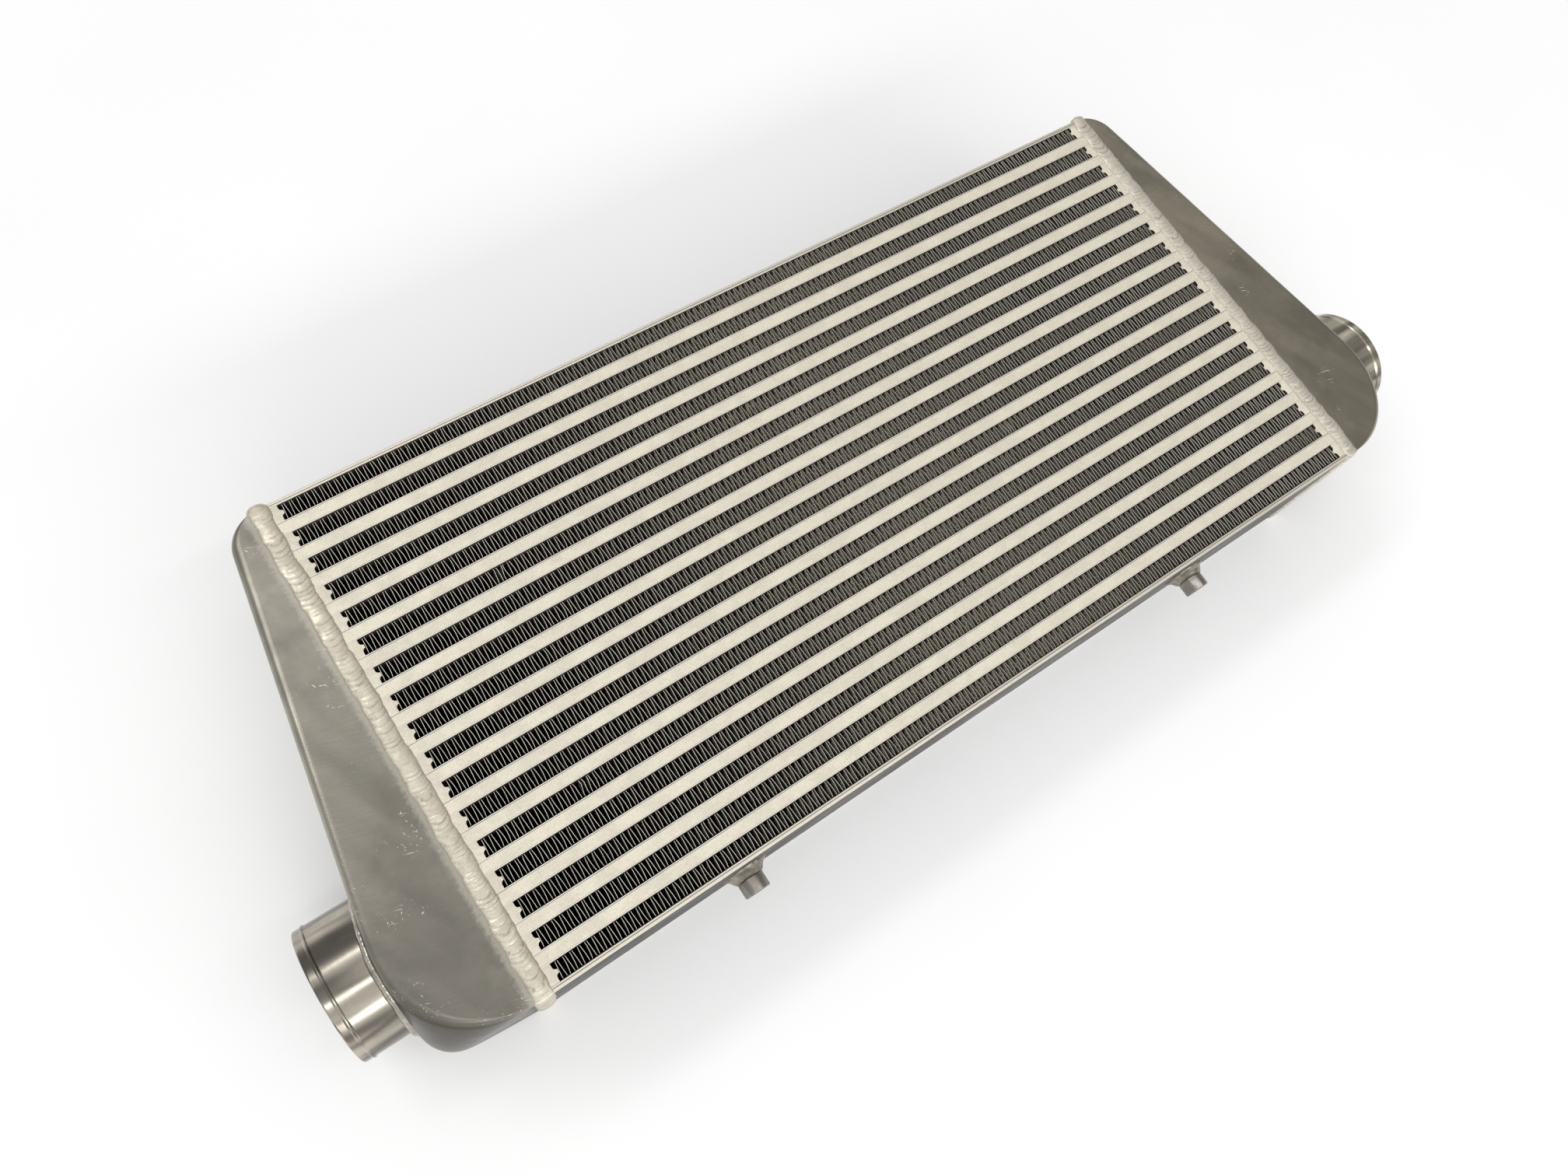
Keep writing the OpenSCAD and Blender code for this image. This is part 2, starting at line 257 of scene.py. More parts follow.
class GeometryTree(Group):
    """A Geometry Nodes tree with named inputs and one mesh as its result."""

    def __init__(self, name: str, **sizes: Value) -> None:
        """Makes the tree, with an input for its host's mesh, one for each size and one for the material.

        Args:
            name: the tree's name.
            sizes: the default of each input, whose kind decides the kind of socket.
        """
        kinds = {int: "Int", float: "Float", tuple: "Vector"}
        inputs = [(spelled(title), kinds[type(value)], value) for title, value in sizes.items()]
        inputs = [("Geometry", "Geometry", None), *inputs, ("Material", "Material", None)]
        super().__init__(name, "GeometryNodeTree", inputs, "Geometry")

    def random(self, low: Value, high: Value, place: Value, seed: Value) -> Num:
        """Returns a random number between low and high for each whole number of place."""
        inputs = {2: low, 3: high, 7: place, 8: seed}
        return self.out("FunctionNodeRandomValue", inputs, 1, data_type="FLOAT")

    def joined(self, *parts: Num) -> Num:
        """Returns several geometries as one.

        Args:
            parts: the geometries.

        Returns:
            All of them together.
        """
        made = self.node("GeometryNodeJoinGeometry")
        for part in parts:
            self.put(made.inputs[0], part)
        return Num(self, made.outputs[0])

    def grid(self, columns: Value, rows: Value) -> tuple[Num, Num, Num]:
        """Adds a sheet of quads. Returns its mesh and the place from 0 to 1 along both ways.

        Args:
            columns: the number of points one way.
            rows: the number the other way.

        Returns:
            The mesh, and the two places of each of its points.
        """
        inputs = {"Size X": 1.0, "Size Y": 1.0, "Vertices X": columns, "Vertices Y": rows}
        mesh = self.out("GeometryNodeMeshGrid", inputs)
        x, y, _ = self.out("GeometryNodeInputPosition").parts()
        return mesh, x + 0.5, y + 0.5

    def placed(self, geometry: Num, position: Num) -> Num:
        """Returns the geometry with its points at the given place."""
        return self.out("GeometryNodeSetPosition", {"Geometry": geometry, "Position": position})

    def moved(self, geometry: Num, **change: Value) -> Num:
        """Returns the geometry turned and moved."""
        change = {title.capitalize(): value for title, value in change.items()}
        return self.out("GeometryNodeTransform", {"Geometry": geometry} | change)

    def copies(self, points: Num, instance: Num, **more: Value) -> Num:
        """Returns a copy of a geometry at each of the points."""
        more = {title.capitalize(): value for title, value in more.items()}
        return self.out("GeometryNodeInstanceOnPoints", {"Points": points, "Instance": instance} | more)

    def line(self, count: Value, start: Value, offset: Value) -> Num:
        """Returns points at equal steps from a start."""
        return self.out("GeometryNodeMeshLine", {"Count": count, "Start Location": start, "Offset": offset})

    def merged(self, geometry: Num, distance: float) -> Num:
        """Returns the geometry with its doubled points joined."""
        return self.out("GeometryNodeMergeByDistance", {"Geometry": geometry, "Distance": distance})

    def walled(self, sheet: Num, thickness: Value) -> Num:
        """Returns a closed shell: the sheet, turned over, and its copy at a wall's distance.

        Args:
            sheet: an open mesh.
            thickness: the thickness of the wall.

        Returns:
            The closed mesh.
        """
        inputs = {"Mesh": sheet, "Offset Scale": thickness, "Individual": False}
        top = self.out("GeometryNodeExtrudeMesh", inputs, mode="FACES")
        bottom = self.out("GeometryNodeFlipFaces", {"Mesh": sheet})
        return self.merged(self.joined(top, bottom), SAME_POINT)

    def finish(self, geometry: Num, smooth: bool) -> None:
        """Ends the tree: instances become real, and the mesh gets the input's material.

        Args:
            geometry: what the tree has made.
            smooth: whether it is shaded smooth.
        """
        real = self.out("GeometryNodeRealizeInstances", {"Geometry": geometry})
        shaded = self.out("GeometryNodeSetShadeSmooth", {"Geometry": real, "Shade Smooth": smooth})
        inputs = {"Geometry": shaded, "Material": self.size("Material")}
        self.end(self.out("GeometryNodeSetMaterial", inputs))

    def run(self, name: str, path: Sequence[Vector] = (), **values: object) -> Object:
        """Runs the tree and keeps its result as a plain mesh object.

        Args:
            name: the new object's name.
            path: the points of the closed line that the tree follows, if it follows one.
            values: a value for each named input that differs from its default.

        Returns:
            The object, with no modifier on it.
        """
        mesh = bpy.data.meshes.new(name + "_path")
        count = len(path)
        mesh.from_pydata([tuple(p) for p in path], [(n, (n + 1) % count) for n in range(count)], [])
        host = linked(name + "_host", mesh)
        modifier = host.modifiers.new("tree", "NODES")
        modifier.node_group = self.tree
        sockets = self.tree.interface.items_tree
        keys = {item.name: item.identifier for item in sockets if item.in_out == "INPUT"}
        for title, value in values.items():
            modifier[keys[spelled(title)]] = value
        return settled(host, name)


# ---------------------------------------------------------------- mesh helpers


@contextmanager
def editing(mesh: Mesh) -> Iterator[bmesh.types.BMesh]:
    """Opens a mesh for editing, and writes the result back.

    Args:
        mesh: the mesh to change.

    Yields:
        The open mesh, for as long as the block runs.
    """
    opened = bmesh.new()
    opened.from_mesh(mesh)
    yield opened
    opened.to_mesh(mesh)
    opened.free()


def linked(name: str, data: ID) -> Object:
    """Makes an object of a mesh, lamp or camera and links it to the scene.

    Args:
        name: the object's name.
        data: what it shows.

    Returns:
        The object.
    """
    made = bpy.data.objects.new(name, data)
    bpy.context.scene.collection.objects.link(made)
    return made


def settled(host: Object, name: str) -> Object:
    """Turns an object with modifiers into a plain mesh object in its place.

    Args:
        host: the object whose evaluated mesh is wanted. It is removed.
        name: the new object's name.

    Returns:
        The new object.
    """
    bpy.context.view_layer.update()
    graph = bpy.context.evaluated_depsgraph_get()
    mesh = bpy.data.meshes.new_from_object(host.evaluated_get(graph), depsgraph=graph)
    mesh.name = name
    made = linked(name, mesh)
    bpy.data.objects.remove(host)
    return made


def mesh_object(name: str, points: Sequence[Sequence[float]], faces: Sequence[Sequence[int]]) -> Object:
    """Makes a smooth mesh object of points and faces, with doubles merged and normals outwards.

    Args:
        name: the object's name.
        points: the place of each point.
        faces: the numbers of the points of each face.

    Returns:
        The object.
    """
    mesh = bpy.data.meshes.new(name)
    mesh.from_pydata([tuple(p) for p in points], [], [tuple(f) for f in faces])
    with editing(mesh) as opened:
        bmesh.ops.remove_doubles(opened, verts=opened.verts, dist=SAME_POINT)
        bmesh.ops.recalc_face_normals(opened, faces=opened.faces)
        for f in opened.faces:
            f.smooth = True
    return linked(name, mesh)


def sharpened(piece: Object, degrees: float) -> Object:
    """Keeps the edges of a smooth mesh crisp where its faces turn by more than an angle."""
    piece.data.set_sharp_from_angle(angle=math.radians(degrees))
    return piece


def turned(
    name: str, sections: Sequence[Sequence[Pair]], place: Matrix, skip: Sequence[int] = ()
) -> Object:
    """Joins closed sections that stand in equal steps about an axis.

    Args:
        name: the new object's name.
        sections: for each step, the radius and place along the axis of each point of its section.
        place: where the axis goes; it runs along Z before that.
        skip: the sides of the section that have no faces.

    Returns:
        The turned piece.
    """
    points, faces = [], []
    steps, count = len(sections), len(sections[0])
    for k, section in enumerate(sections):
        turn = 2 * math.pi * k / steps
        points += [place @ Vector((r * math.cos(turn), r * math.sin(turn), z)) for r, z in section]
        here, after = k * count, (k + 1) % steps * count
        for n in range(count):
            m = (n + 1) % count
            if n not in skip:
                faces.append((here + n, here + m, after + m, after + n))
    return mesh_object(name, points, faces)


def softened(node: str, name: str, radius: float) -> Object:
    """Copies a CAD node and rounds its edges off.

    Args:
        node: the CAD node to copy.
        name: the new object's name.
        radius: the rounding of the edges.

    Returns:
        The copy, as a plain mesh.
    """
    mesh = bpy.data.objects[node].data.copy()
    with editing(mesh) as opened:
        bmesh.ops.remove_doubles(opened, verts=opened.verts, dist=SAME_POINT)
        bmesh.ops.dissolve_limit(
            opened, angle_limit=math.radians(1), use_dissolve_boundaries=False,
            verts=opened.verts, edges=opened.edges,
        )
        for f in opened.faces:
            f.smooth = True
    host = linked(name + "_host", mesh)
    bevel = host.modifiers.new("edges", "BEVEL")
    bevel.width, bevel.segments = radius, 2
    bevel.limit_method, bevel.angle_limit = "ANGLE", math.radians(40)
    return sharpened(settled(host, name), degrees=50)


def dress(piece: Object, material: Material, slot: str, *nodes: str) -> None:
    """Gives a piece its finish, hangs it under the root and hides the CAD nodes that it stands for.

    Args:
        piece: the finished mesh.
        material: its finish.
        slot: not used.
        nodes: the CAD nodes that it replaces.
    """
    piece.data.materials.clear()
    piece.data.materials.append(material)
    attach(piece, "root")
    if nodes:
        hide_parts(*nodes)
    piece.data.calc_loop_triangles()
    log.info("%s: %d triangles", piece.name, len(piece.data.loop_triangles))


def dress_node(node: str, material: Material) -> None:
    """Gives a CAD node that keeps its own shape a better finish.

    Args:
        node: the CAD node.
        material: its finish.
    """
    mesh = bpy.data.objects[node].data
    mesh.materials.clear()
    mesh.materials.append(material)
    log.info("%s: keeps its shape", node)


# ---------------------------------------------------------------- finishes


class Effects:
    """The effect groups, each built once and shared by the finishes."""

    def __init__(self) -> None:
        """Builds every group."""
        self.patches = self.build_patches()
        self.grain = self.build_grain()
        self.scratches = self.build_scratches()
        self.specks = self.build_specks()
        self.rings = self.build_rings()
        self.brush = self.build_brush()

    @staticmethod
    def group(name: str, **inputs: float) -> tuple[Group, Num, Num]:
        """Makes a group with a Vector, a Scale and other number inputs. Returns it with the first two.

        Args:
            name: the group's name.
            inputs: the default of each number.

        Returns:
            The group, its Vector and its Scale.
        """
        sockets = [(title.capitalize(), "Float", value) for title, value in inputs.items()]
        made = Group(name, "ShaderNodeTree", [("Vector", "Vector", None), *sockets], "Float")
        return made, made.size("Vector"), made.size("Scale")

    def build_patches(self) -> NodeTree:
        """Soft clouds from 0 to 1, such as stains and uneven polish."""
        g, place, scale = self.group("soft_patches", scale=20.0, low=0.4, high=0.6)
        return g.end(g.noise(place, scale, 4.0, 0.6).remap((g.size("Low"), g.size("High")), smooth=True))

    def build_grain(self) -> NodeTree:
        """The height of a fine grain, with small pits in it.

        Returns:
            The group's tree.
        """
        g, place, scale = self.group("fine_grain", scale=2000.0, pits=0.4)
        fine = g.noise(place, scale, 3.0, 0.65)
        cell = g.out("ShaderNodeTexVoronoi", {"Vector": place, "Scale": scale * 0.45})
        return g.end(fine - cell.remap((0.0, 0.32), FADE, True) * g.size("Pits"))

    def build_scratches(self) -> NodeTree:
        """Thin scratches in three directions, where a patch allows them.

        Returns:
            The group's tree.
        """
        g, place, scale = self.group("scratch_lines", scale=1500.0, stretch=0.03, amount=0.5)
        best = None
        for angle, shift in ((0.35, 0.0), (1.25, 3.7), (2.3, 8.1)):
            inputs = {"Vector": place, "Axis": (0.1, 0.2, 1.0), "Angle": angle}
            x, y, z = g.out("ShaderNodeVectorRotate", inputs, rotation_type="AXIS_ANGLE").parts()
            line = g.noise(g.vector(x * g.size("Stretch") + shift, y, z), scale, 0.0).remap((0.77, 0.81))
            best = line if best is None else best.op("MAXIMUM", line)
        share = 0.8 - g.size("Amount") * 0.35
        allowed = ((g.noise(place, scale * 0.03, 2.0, 0.5) - share) * 12.0).clamp()
        return g.end(best * allowed)

    def build_specks(self) -> NodeTree:
        """Small round spots, such as dried drops and bright spatter.

        Returns:
            The group's tree.
        """
        g, place, scale = self.group("round_specks", scale=150.0, size=0.2, share=0.2)
        cell = g.node("ShaderNodeTexVoronoi", {"Vector": place, "Scale": scale})
        kept, big, _ = Num(g, cell.outputs[1]).parts()
        inside = ((g.size("Size") * (big + 0.3) - Num(g, cell.outputs[0])) * 25.0).clamp()
        return g.end(inside * kept.op("LESS_THAN", g.size("Share")))

    def build_rings(self) -> NodeTree:
        """The height of marks that run round the X axis, left by turning and polishing.

        Returns:
            The group's tree.
        """
        g, place, scale = self.group("turning_rings", scale=900.0, wobble=0.02)
        x, y, z = place.parts()
        return g.end(g.noise(g.vector(x, y * g.size("Wobble"), z * g.size("Wobble")), scale, 3.0, 0.6))

    def build_brush(self) -> NodeTree:
        """Fine streaks from 0 to 1 in one direction, left by a linishing belt.

        Returns:
            The group's tree.
        """
        g, place, scale = self.group("brush_marks", scale=1200.0, stretch=0.02, angle=0.5)
        inputs = {"Vector": place, "Angle": g.size("Angle")}
        x, y, z = g.out("ShaderNodeVectorRotate", inputs, rotation_type="Z_AXIS").parts()
        along = g.vector(x * g.size("Stretch"), y, z * 0.3)
        return g.end(g.noise(along, scale, 3.0, 0.7).remap((0.3, 0.7)))


class Paint(Graph):
    """A material's node tree under construction."""

    def effect(self, tree: NodeTree, place: Num, **values: float) -> Num:
        """Places an effect group in the material and returns its output."""
        inputs = {"Vector": place} | {title.capitalize(): value for title, value in values.items()}
        return self.out("ShaderNodeGroup", inputs, node_tree=tree)

    def blend(self, mask: Value, under: Num | Triple, over: Num | Triple, mode: str = "MIX") -> Num:
        """Mixes two colours by a mask."""
        under, over = ((*c, 1.0) if isinstance(c, tuple) else c for c in (under, over))
        return self.out("ShaderNodeMix", {0: mask, 6: under, 7: over}, 2, data_type="RGBA", blend_type=mode)

    def shaded(self, colour: Num, tone: Num) -> Num:
        """Returns a colour times a number."""
        return self.blend(1.0, colour, self.vector(tone, tone, tone), "MULTIPLY")

    def end_light_tint(self, x: Num, colour: Num, ends: tuple[Triple, Triple]) -> Num:
        """Tints a colour in one way at the left end of the object and in another at the right: painted light,
        which makes one end's copy of a finish darker and the other's lighter.
        """
        return self.blend(1.0, colour, self.blend(x.remap(CORE_ENDS_X), *ends), "MULTIPLY")


@dataclass(frozen=True)
class MetalFinish:
    """A bare metal surface: its colours, its sheen and the marks on it.

    The grain, scratches and specks are in sizes per metre and in shares from 0 to 1.
    """

    name: str
    colour: Triple
    stain: Triple
    metallic: float = 1.0
    roughness: Pair = (0.3, 0.4)
    specular: float = 0.5
    patch_scale: float = 25.0
    patch_range: Pair = (0.36, 0.64)
    grain_scale: float = 2500.0
    grain_pits: float = 0.4
    grain_depth: float = 0.00004
    grain_shade: float = 0.12
    scratch_scale: float = 1500.0
    scratch_stretch: float = 0.03
    scratch_amount: float = 0.3
    scratch_colour: Triple = (0.85, 0.84, 0.8)
    speck_scale: float = 120.0
    speck_size: float = 0.18
    speck_share: float = 0.0
    speck_rough: float = 0.12
    wave_scale: float = 0.0
    wave_depth: float = 0.0
    ring_scale: float = 0.0
    ring_depth: float = 0.0
    brush: float = 0.0
    brush_angle: float = 0.5
    brush_scale: float = 1500.0
    brush_stretch: float = 0.045

    def extra(self, g: Paint, place: Num, colour: Num, rough: Num) -> tuple[Num, Num]:
        """Hook for marks that only one finish has. Returns the colour and the roughness."""
        return colour, rough

    def material(self, effects: Effects) -> Material:
        """Builds the material.

        Args:
            effects: the shared effect groups.

        Returns:
            The finished material.
        """
        made = bpy.data.materials.new(self.name)
        made.use_nodes = True
        made.node_tree.nodes.clear()
        g = Paint(made.node_tree)
        place = g.out("ShaderNodeTexCoord", output="Object")
        low, high = self.patch_range
        cloud = g.effect(effects.patches, place, scale=self.patch_scale, low=low, high=high)
        grain = g.effect(effects.grain, place, scale=self.grain_scale, pits=self.grain_pits)
        scratch = g.effect(
            effects.scratches, place,
            scale=self.scratch_scale, stretch=self.scratch_stretch, amount=self.scratch_amount,
        )
        colour = g.blend(cloud, self.stain, self.colour)
        shade = self.grain_shade
        colour = g.shaded(colour, grain.remap((0.1, 0.7), (1.0 - shade, 1.0 + 0.5 * shade)))
        colour = g.blend(scratch, colour, self.scratch_colour)
        rough = cloud.remap((0.0, 1.0), (self.roughness[1], self.roughness[0]))
        if self.brush > 0:
            streak = g.effect(
                effects.brush, place,
                scale=self.brush_scale, stretch=self.brush_stretch, angle=self.brush_angle,
            )
            colour = g.shaded(colour, streak.remap((0.0, 1.0), (1.0 - self.brush, 1.0 + self.brush)))
            rough = streak.madd(self.brush, rough)
        if self.speck_share > 0:
            speck = g.effect(
                effects.specks, place,
                scale=self.speck_scale, size=self.speck_size, share=self.speck_share,
            )
            colour = g.blend(speck, colour, self.scratch_colour)
            rough = speck.madd(self.speck_rough, rough)
        colour, rough = self.extra(g, place, colour, rough)
        height = grain * self.grain_depth - scratch * self.grain_depth
        if self.wave_depth > 0:
            height = height + g.noise(place, self.wave_scale) * self.wave_depth
        if self.ring_depth > 0:
            height = height + g.effect(effects.rings, place, scale=self.ring_scale) * self.ring_depth
        bump = g.out("ShaderNodeBump", {"Strength": 1.0, "Distance": 1.0, "Height": height})
        shader = g.out("ShaderNodeBsdfPrincipled", {
            "Base Color": colour, "Metallic": self.metallic, "Roughness": rough, "Normal": bump,
            "Specular IOR Level": self.specular,
        })
        g.node("ShaderNodeOutputMaterial", {0: shader})
        return made


@dataclass(frozen=True)
class CastFinish(MetalFinish):
    """A linished casting, with a paler band where it was cleaned beside the weld.

    Its underside, low down and behind the front face, gets painted shade: a dark colour that stands in for the
    dark reflection below it.
    """

    # painted light: the left tank's copy of this finish is darker, the right one's lighter and warmer
    ends: tuple[Triple, Triple] = ((0.84, 0.84, 0.83), (1.08, 1.05, 0.95))
    ragged_scale: float = 420.0
    ragged_reach: float = 0.008
    # painted sheen: the size and the range of the broad bands
    sheen_sweep_scale: float = 55.0
    sheen_sweep_range: Pair = (0.9, 1.12)
    band: Pair = (0.3062, 0.31)
    band_share: float = 0.55
    band_colour: Triple = (0.54, 0.505, 0.43)
    # painted shade on the underside: where it starts, how strong it is and its dark colour
    underside_shade_y: Pair = (-0.115, -0.09)
    underside_shade_z: Pair = (0.0975, 0.1012)
    underside_shade_share: float = 0.9
    underside_shade_colour: Triple = (0.065, 0.057, 0.045)

    def extra(self, g: Paint, place: Num, colour: Num, rough: Num) -> tuple[Num, Num]:
        """Adds broad bands of uneven linishing and painted sheen, the painted light of each end, the pale band
        beside the weld and the painted shade on the underside.

        Args:
            g: the material's tree.
            place: the place of the point on the object.
            colour: the colour so far.
            rough: the roughness so far.

        Returns:
            The colour and the roughness with the marks on them.
        """
        x, y, z = place.parts()
        # painted sheen: broad soft bands, lighter and darker, partly uneven linishing and partly reflected light
        sheen_sweep = g.noise(g.vector(y.madd(0.45, x), y * 0.3, z), self.sheen_sweep_scale, 2.0, 0.4)
        colour = g.shaded(colour, sheen_sweep.remap((0.35, 0.65), self.sheen_sweep_range, True))
        colour = g.end_light_tint(x, colour, self.ends)
        ragged = (g.noise(place, self.ragged_scale, 5.0, 0.75) - 0.5) * self.ragged_reach
        beyond = (x * -1.0).op("MAXIMUM", x + 0.004)
        band = (beyond + ragged).remap(self.band, FADE, True) * self.band_share
        colour = g.blend(band, colour, self.band_colour)
        # painted shade: the underside is darkened, standing in for the dark reflection below the tank
        low = (y + ragged).remap(self.underside_shade_y, FADE, True) * z.remap(self.underside_shade_z, FADE, True)
        colour = g.blend(low * self.underside_shade_share, colour, self.underside_shade_colour)
        return colour, band.madd(0.2, rough)


@dataclass(frozen=True)
class WeldFinish(MetalFinish):
    """Weld metal, with painted shade in the valleys between its ripples and at its toes."""

    # painted light: the left weld's copy is a little darker
    ends: tuple[Triple, Triple] = ((0.98, 0.97, 0.94), (1.0, 1.0, 1.0))
    # painted shade in the ripple valleys and at the toes
    valley_shade_colour: Triple = (0.2, 0.175, 0.135)
    valley_shade_share: float = 0.72

    def extra(self, g: Paint, place: Num, colour: Num, rough: Num) -> tuple[Num, Num]:
        """Adds the painted shade of the valleys and the toes, which the bead keeps as an attribute.

        Args:
            g: the material's tree.
            place: the place of the point on the object.
            colour: the colour so far.
            rough: the roughness so far.

        Returns:
            The colour and the roughness with the marks on them.
        """
        colour = g.end_light_tint(place.parts()[0], colour, self.ends)
        # painted shade: darkens the ripple valleys and the toes
        valley_shade = g.out("ShaderNodeAttribute", output="Fac", attribute_name="valley_shade")
        return g.blend(valley_shade * self.valley_shade_share, colour, self.valley_shade_colour), rough


@dataclass(frozen=True)
class PipeFinish(MetalFinish):
    """A turned pipe, with painted reflections: lighter and darker streaks that run along it."""

    # painted light: the right pipe's copy is much lighter than the left one's
    ends: tuple[Triple, Triple] = ((0.85, 0.84, 0.83), (1.5, 1.48, 1.42))
    # painted reflection: how dark and how light the streaks along the pipe are
    streak: Pair = (0.4, 1.3)
    reflection_streak_scale: float = 75.0

    def extra(self, g: Paint, place: Num, colour: Num, rough: Num) -> tuple[Num, Num]:
        """Adds the painted reflection streaks.

        Args:
            g: the material's tree.
            place: the place of the point on the object.
            colour: the colour so far.
            rough: the roughness so far.

        Returns:
            The colour and the roughness with the marks on them.
        """
        x, y, z = place.parts()
        # painted reflection: streaks along the pipe stand in for reflected light
        streaks = g.noise(g.vector(x * 0.15, y, z), self.reflection_streak_scale)
        colour = g.shaded(colour, streaks.remap((0.38, 0.62), self.streak, True))
        return g.end_light_tint(x, colour, self.ends), rough


@dataclass(frozen=True)
class EdgedFinish(MetalFinish):
    """A metal whose edges in the two faces, blasted clean, have a colour of their own.

    Places in Z count from the middle of the core's thickness.
    """

    edge_z: Pair = (0.0496, 0.0498)
    edge_colour: Triple = (0.8, 0.77, 0.7)
    edge_rough: float = 0.5
    middle_y: float = 0.0066
    middle_z: float = 0.0518
    joint_y: float = 0.0
    joint_width: float = 0.0
    joint_colour: Triple = (0.05, 0.045, 0.04)

    def extra(self, g: Paint, place: Num, colour: Num, rough: Num) -> tuple[Num, Num]:
        """Adds the clean edges, and the hairline joint in them where there is one.

        Args:
            g: the material's tree.
            place: the place of the point on the object.
            colour: the colour so far.
            rough: the roughness so far.

        Returns:
            The colour and the roughness with the marks on them.
        """
        x, y, z = place.parts()
        outwards = abs(z - self.middle_z)
        colour = self.sides(g, x, y, outwards, colour)
        front = self.edges(g, x, y, outwards.remap(self.edge_z))
        colour = g.blend(front, colour, self.edge_colour)
        rough = g.out("ShaderNodeMix", {0: front, 2: rough, 3: self.edge_rough}, data_type="FLOAT")
        if self.joint_width > 0:
            gap = abs(abs(y - self.middle_y) - self.joint_y)
            line = gap.remap((0.5 * self.joint_width, self.joint_width), FADE)
            colour = g.blend(line * front, colour, self.joint_colour)
        return colour, rough

    def sides(self, g: Paint, x: Num, y: Num, outwards: Num, colour: Num) -> Num:
        """Hook for the colour of the faces that lead inwards from the edges."""
        return colour

    def edges(self, g: Paint, x: Num, y: Num, front: Num) -> Num:
        """Hook for where the clean edges show."""
        return front


@dataclass(frozen=True)
class FinFinish(EdgedFinish):
    """The fin strips: their dark base colour is painted shade inside the core; painted light makes them paler in
    places and close to the faces, less so with depth and towards the right end.

    The slits between the louvres get painted shade as dark lines. The folds get neither painted light nor clean
    edges and stay dark, painted shade where they meet the sheets.
    """

    # painted light: the colour of the lit strips, of their edges there, where it reaches, and the colour close to
    # the faces
    pale: Triple = (0.69, 0.632, 0.5)
    painted_light_edge: Triple = (0.26, 0.239, 0.19)
    painted_light_x: Pair = (0.02, 0.24)
    painted_light_z: Pair = (0.0452, 0.0484)
    near_light_z: Pair = (0.0486, 0.049)
    near_light_colour: Triple = (0.32, 0.3, 0.25)
    pitch: float = 0.01775
    first: float = 0.0
    height: float = 0.01
    slit_pitch: float = 0.0012
    slit_start: float = 0.001
    # painted shade in the slits between the louvres
    slit_shade_colour: Triple = (0.03, 0.027, 0.022)
    face_z: float = 0.0495
    # painted shade: the strips grow darker towards the right end
    right_shade_x: Pair = (0.0, 0.2)
    even_light_scale: float = 55.0
    leg_scale: float = 380.0

    def row_place(self, y: Num) -> Num:
        """Returns the distance in Y from the middle of the row."""
        return abs((y - self.first).op("FLOORED_MODULO", self.pitch) - 0.5 * self.height)

    def on_leg(self, y: Num) -> Num:
        """Returns 1 on a leg and 0 in its folds."""
        return self.row_place(y).remap((0.435 * self.height, 0.45 * self.height), FADE)

    def evenness(self, g: Paint, x: Num, y: Num) -> Num:
        """Returns how much painted light a place gets, as one even grey: most in the middle of the core and in
        long patches that differ from row to row.

        Args:
            g: the material's tree.
            x: the place along the core.
            y: the place across its rows.

        Returns:
            The share, from 0 to 1.
        """
        # painted light: the share is highest in the middle of the core and in long patches along the rows, broken
        # up leg by leg
        patch = g.noise(g.vector(x * 0.22, y), self.even_light_scale)
        middle = abs(x).remap(self.painted_light_x, (0.85, 0.0), True)
        patch = patch.remap((0.45, 0.6), smooth=True) * x.remap((-0.1, 0.2), (0.2, 0.6))
        legs = g.noise(g.vector(x, y * 3.0), self.leg_scale, 1.0).remap((0.38, 0.6), (0.3, 1.0), True)
        return middle.op("MAXIMUM", patch) * legs

    def sides(self, g: Paint, x: Num, y: Num, outwards: Num, colour: Num) -> Num:
        """Paints light on the strips where they are evenly lit and close to the faces, less with depth and towards
        the right end, and paints shade in the slits.

        Args:
            g: the material's tree.
            x: the place along the core.
            y: the place across its rows.
            outwards: the distance in Z from the middle of the core.
            colour: the colour so far.

        Returns:
            The new colour.
        """
        even, leg = self.evenness(g, x, y), self.on_leg(y)
        # painted light where the strips are evenly lit, less with depth and towards the right end, none on the
        # folds
        painted_light_fade = outwards.remap(self.painted_light_z, (0.35, 1.0)) * x.remap(self.right_shade_x, (1.0, 0.4)) * leg
        colour = g.blend(even * painted_light_fade, colour, self.pale)
        # painted light close to the faces, mostly where the strips are not evenly lit
        near = outwards.remap(self.near_light_z, smooth=True) * even.remap((0.0, 1.0), (1.0, 0.15)) * leg
        colour = g.blend(near, colour, self.near_light_colour)
        # painted shade: dark lines in the slits between the louvres
        count = (self.face_z - self.slit_start - outwards) / self.slit_pitch
        beside = abs((count + 0.5).op("FRACT") - 0.5)
        inside = self.row_place(y).remap((0.34 * self.height, 0.37 * self.height), FADE)
        colour = g.blend(beside.remap((0.12, 0.2), (0.8, 0.0)) * inside, colour, self.slit_shade_colour)
        # painted shade: where the strips are evenly lit, the front edges take a dim colour
        return g.blend(outwards.remap(self.edge_z) * even, colour, self.painted_light_edge)

    def edges(self, g: Paint, x: Num, y: Num, front: Num) -> Num:
        """Leaves the folds out of the clean edges, and dims them with painted shade where the strips are evenly
        lit and towards the right end.
        """
        # painted shade: the clean edges dim where evenly lit and towards the right end, and are left off the folds
        dim = self.evenness(g, x, y).remap((0.0, 0.9), FADE) * x.remap(self.right_shade_x, (1.0, 0.75))
        return front * dim * self.on_leg(y)


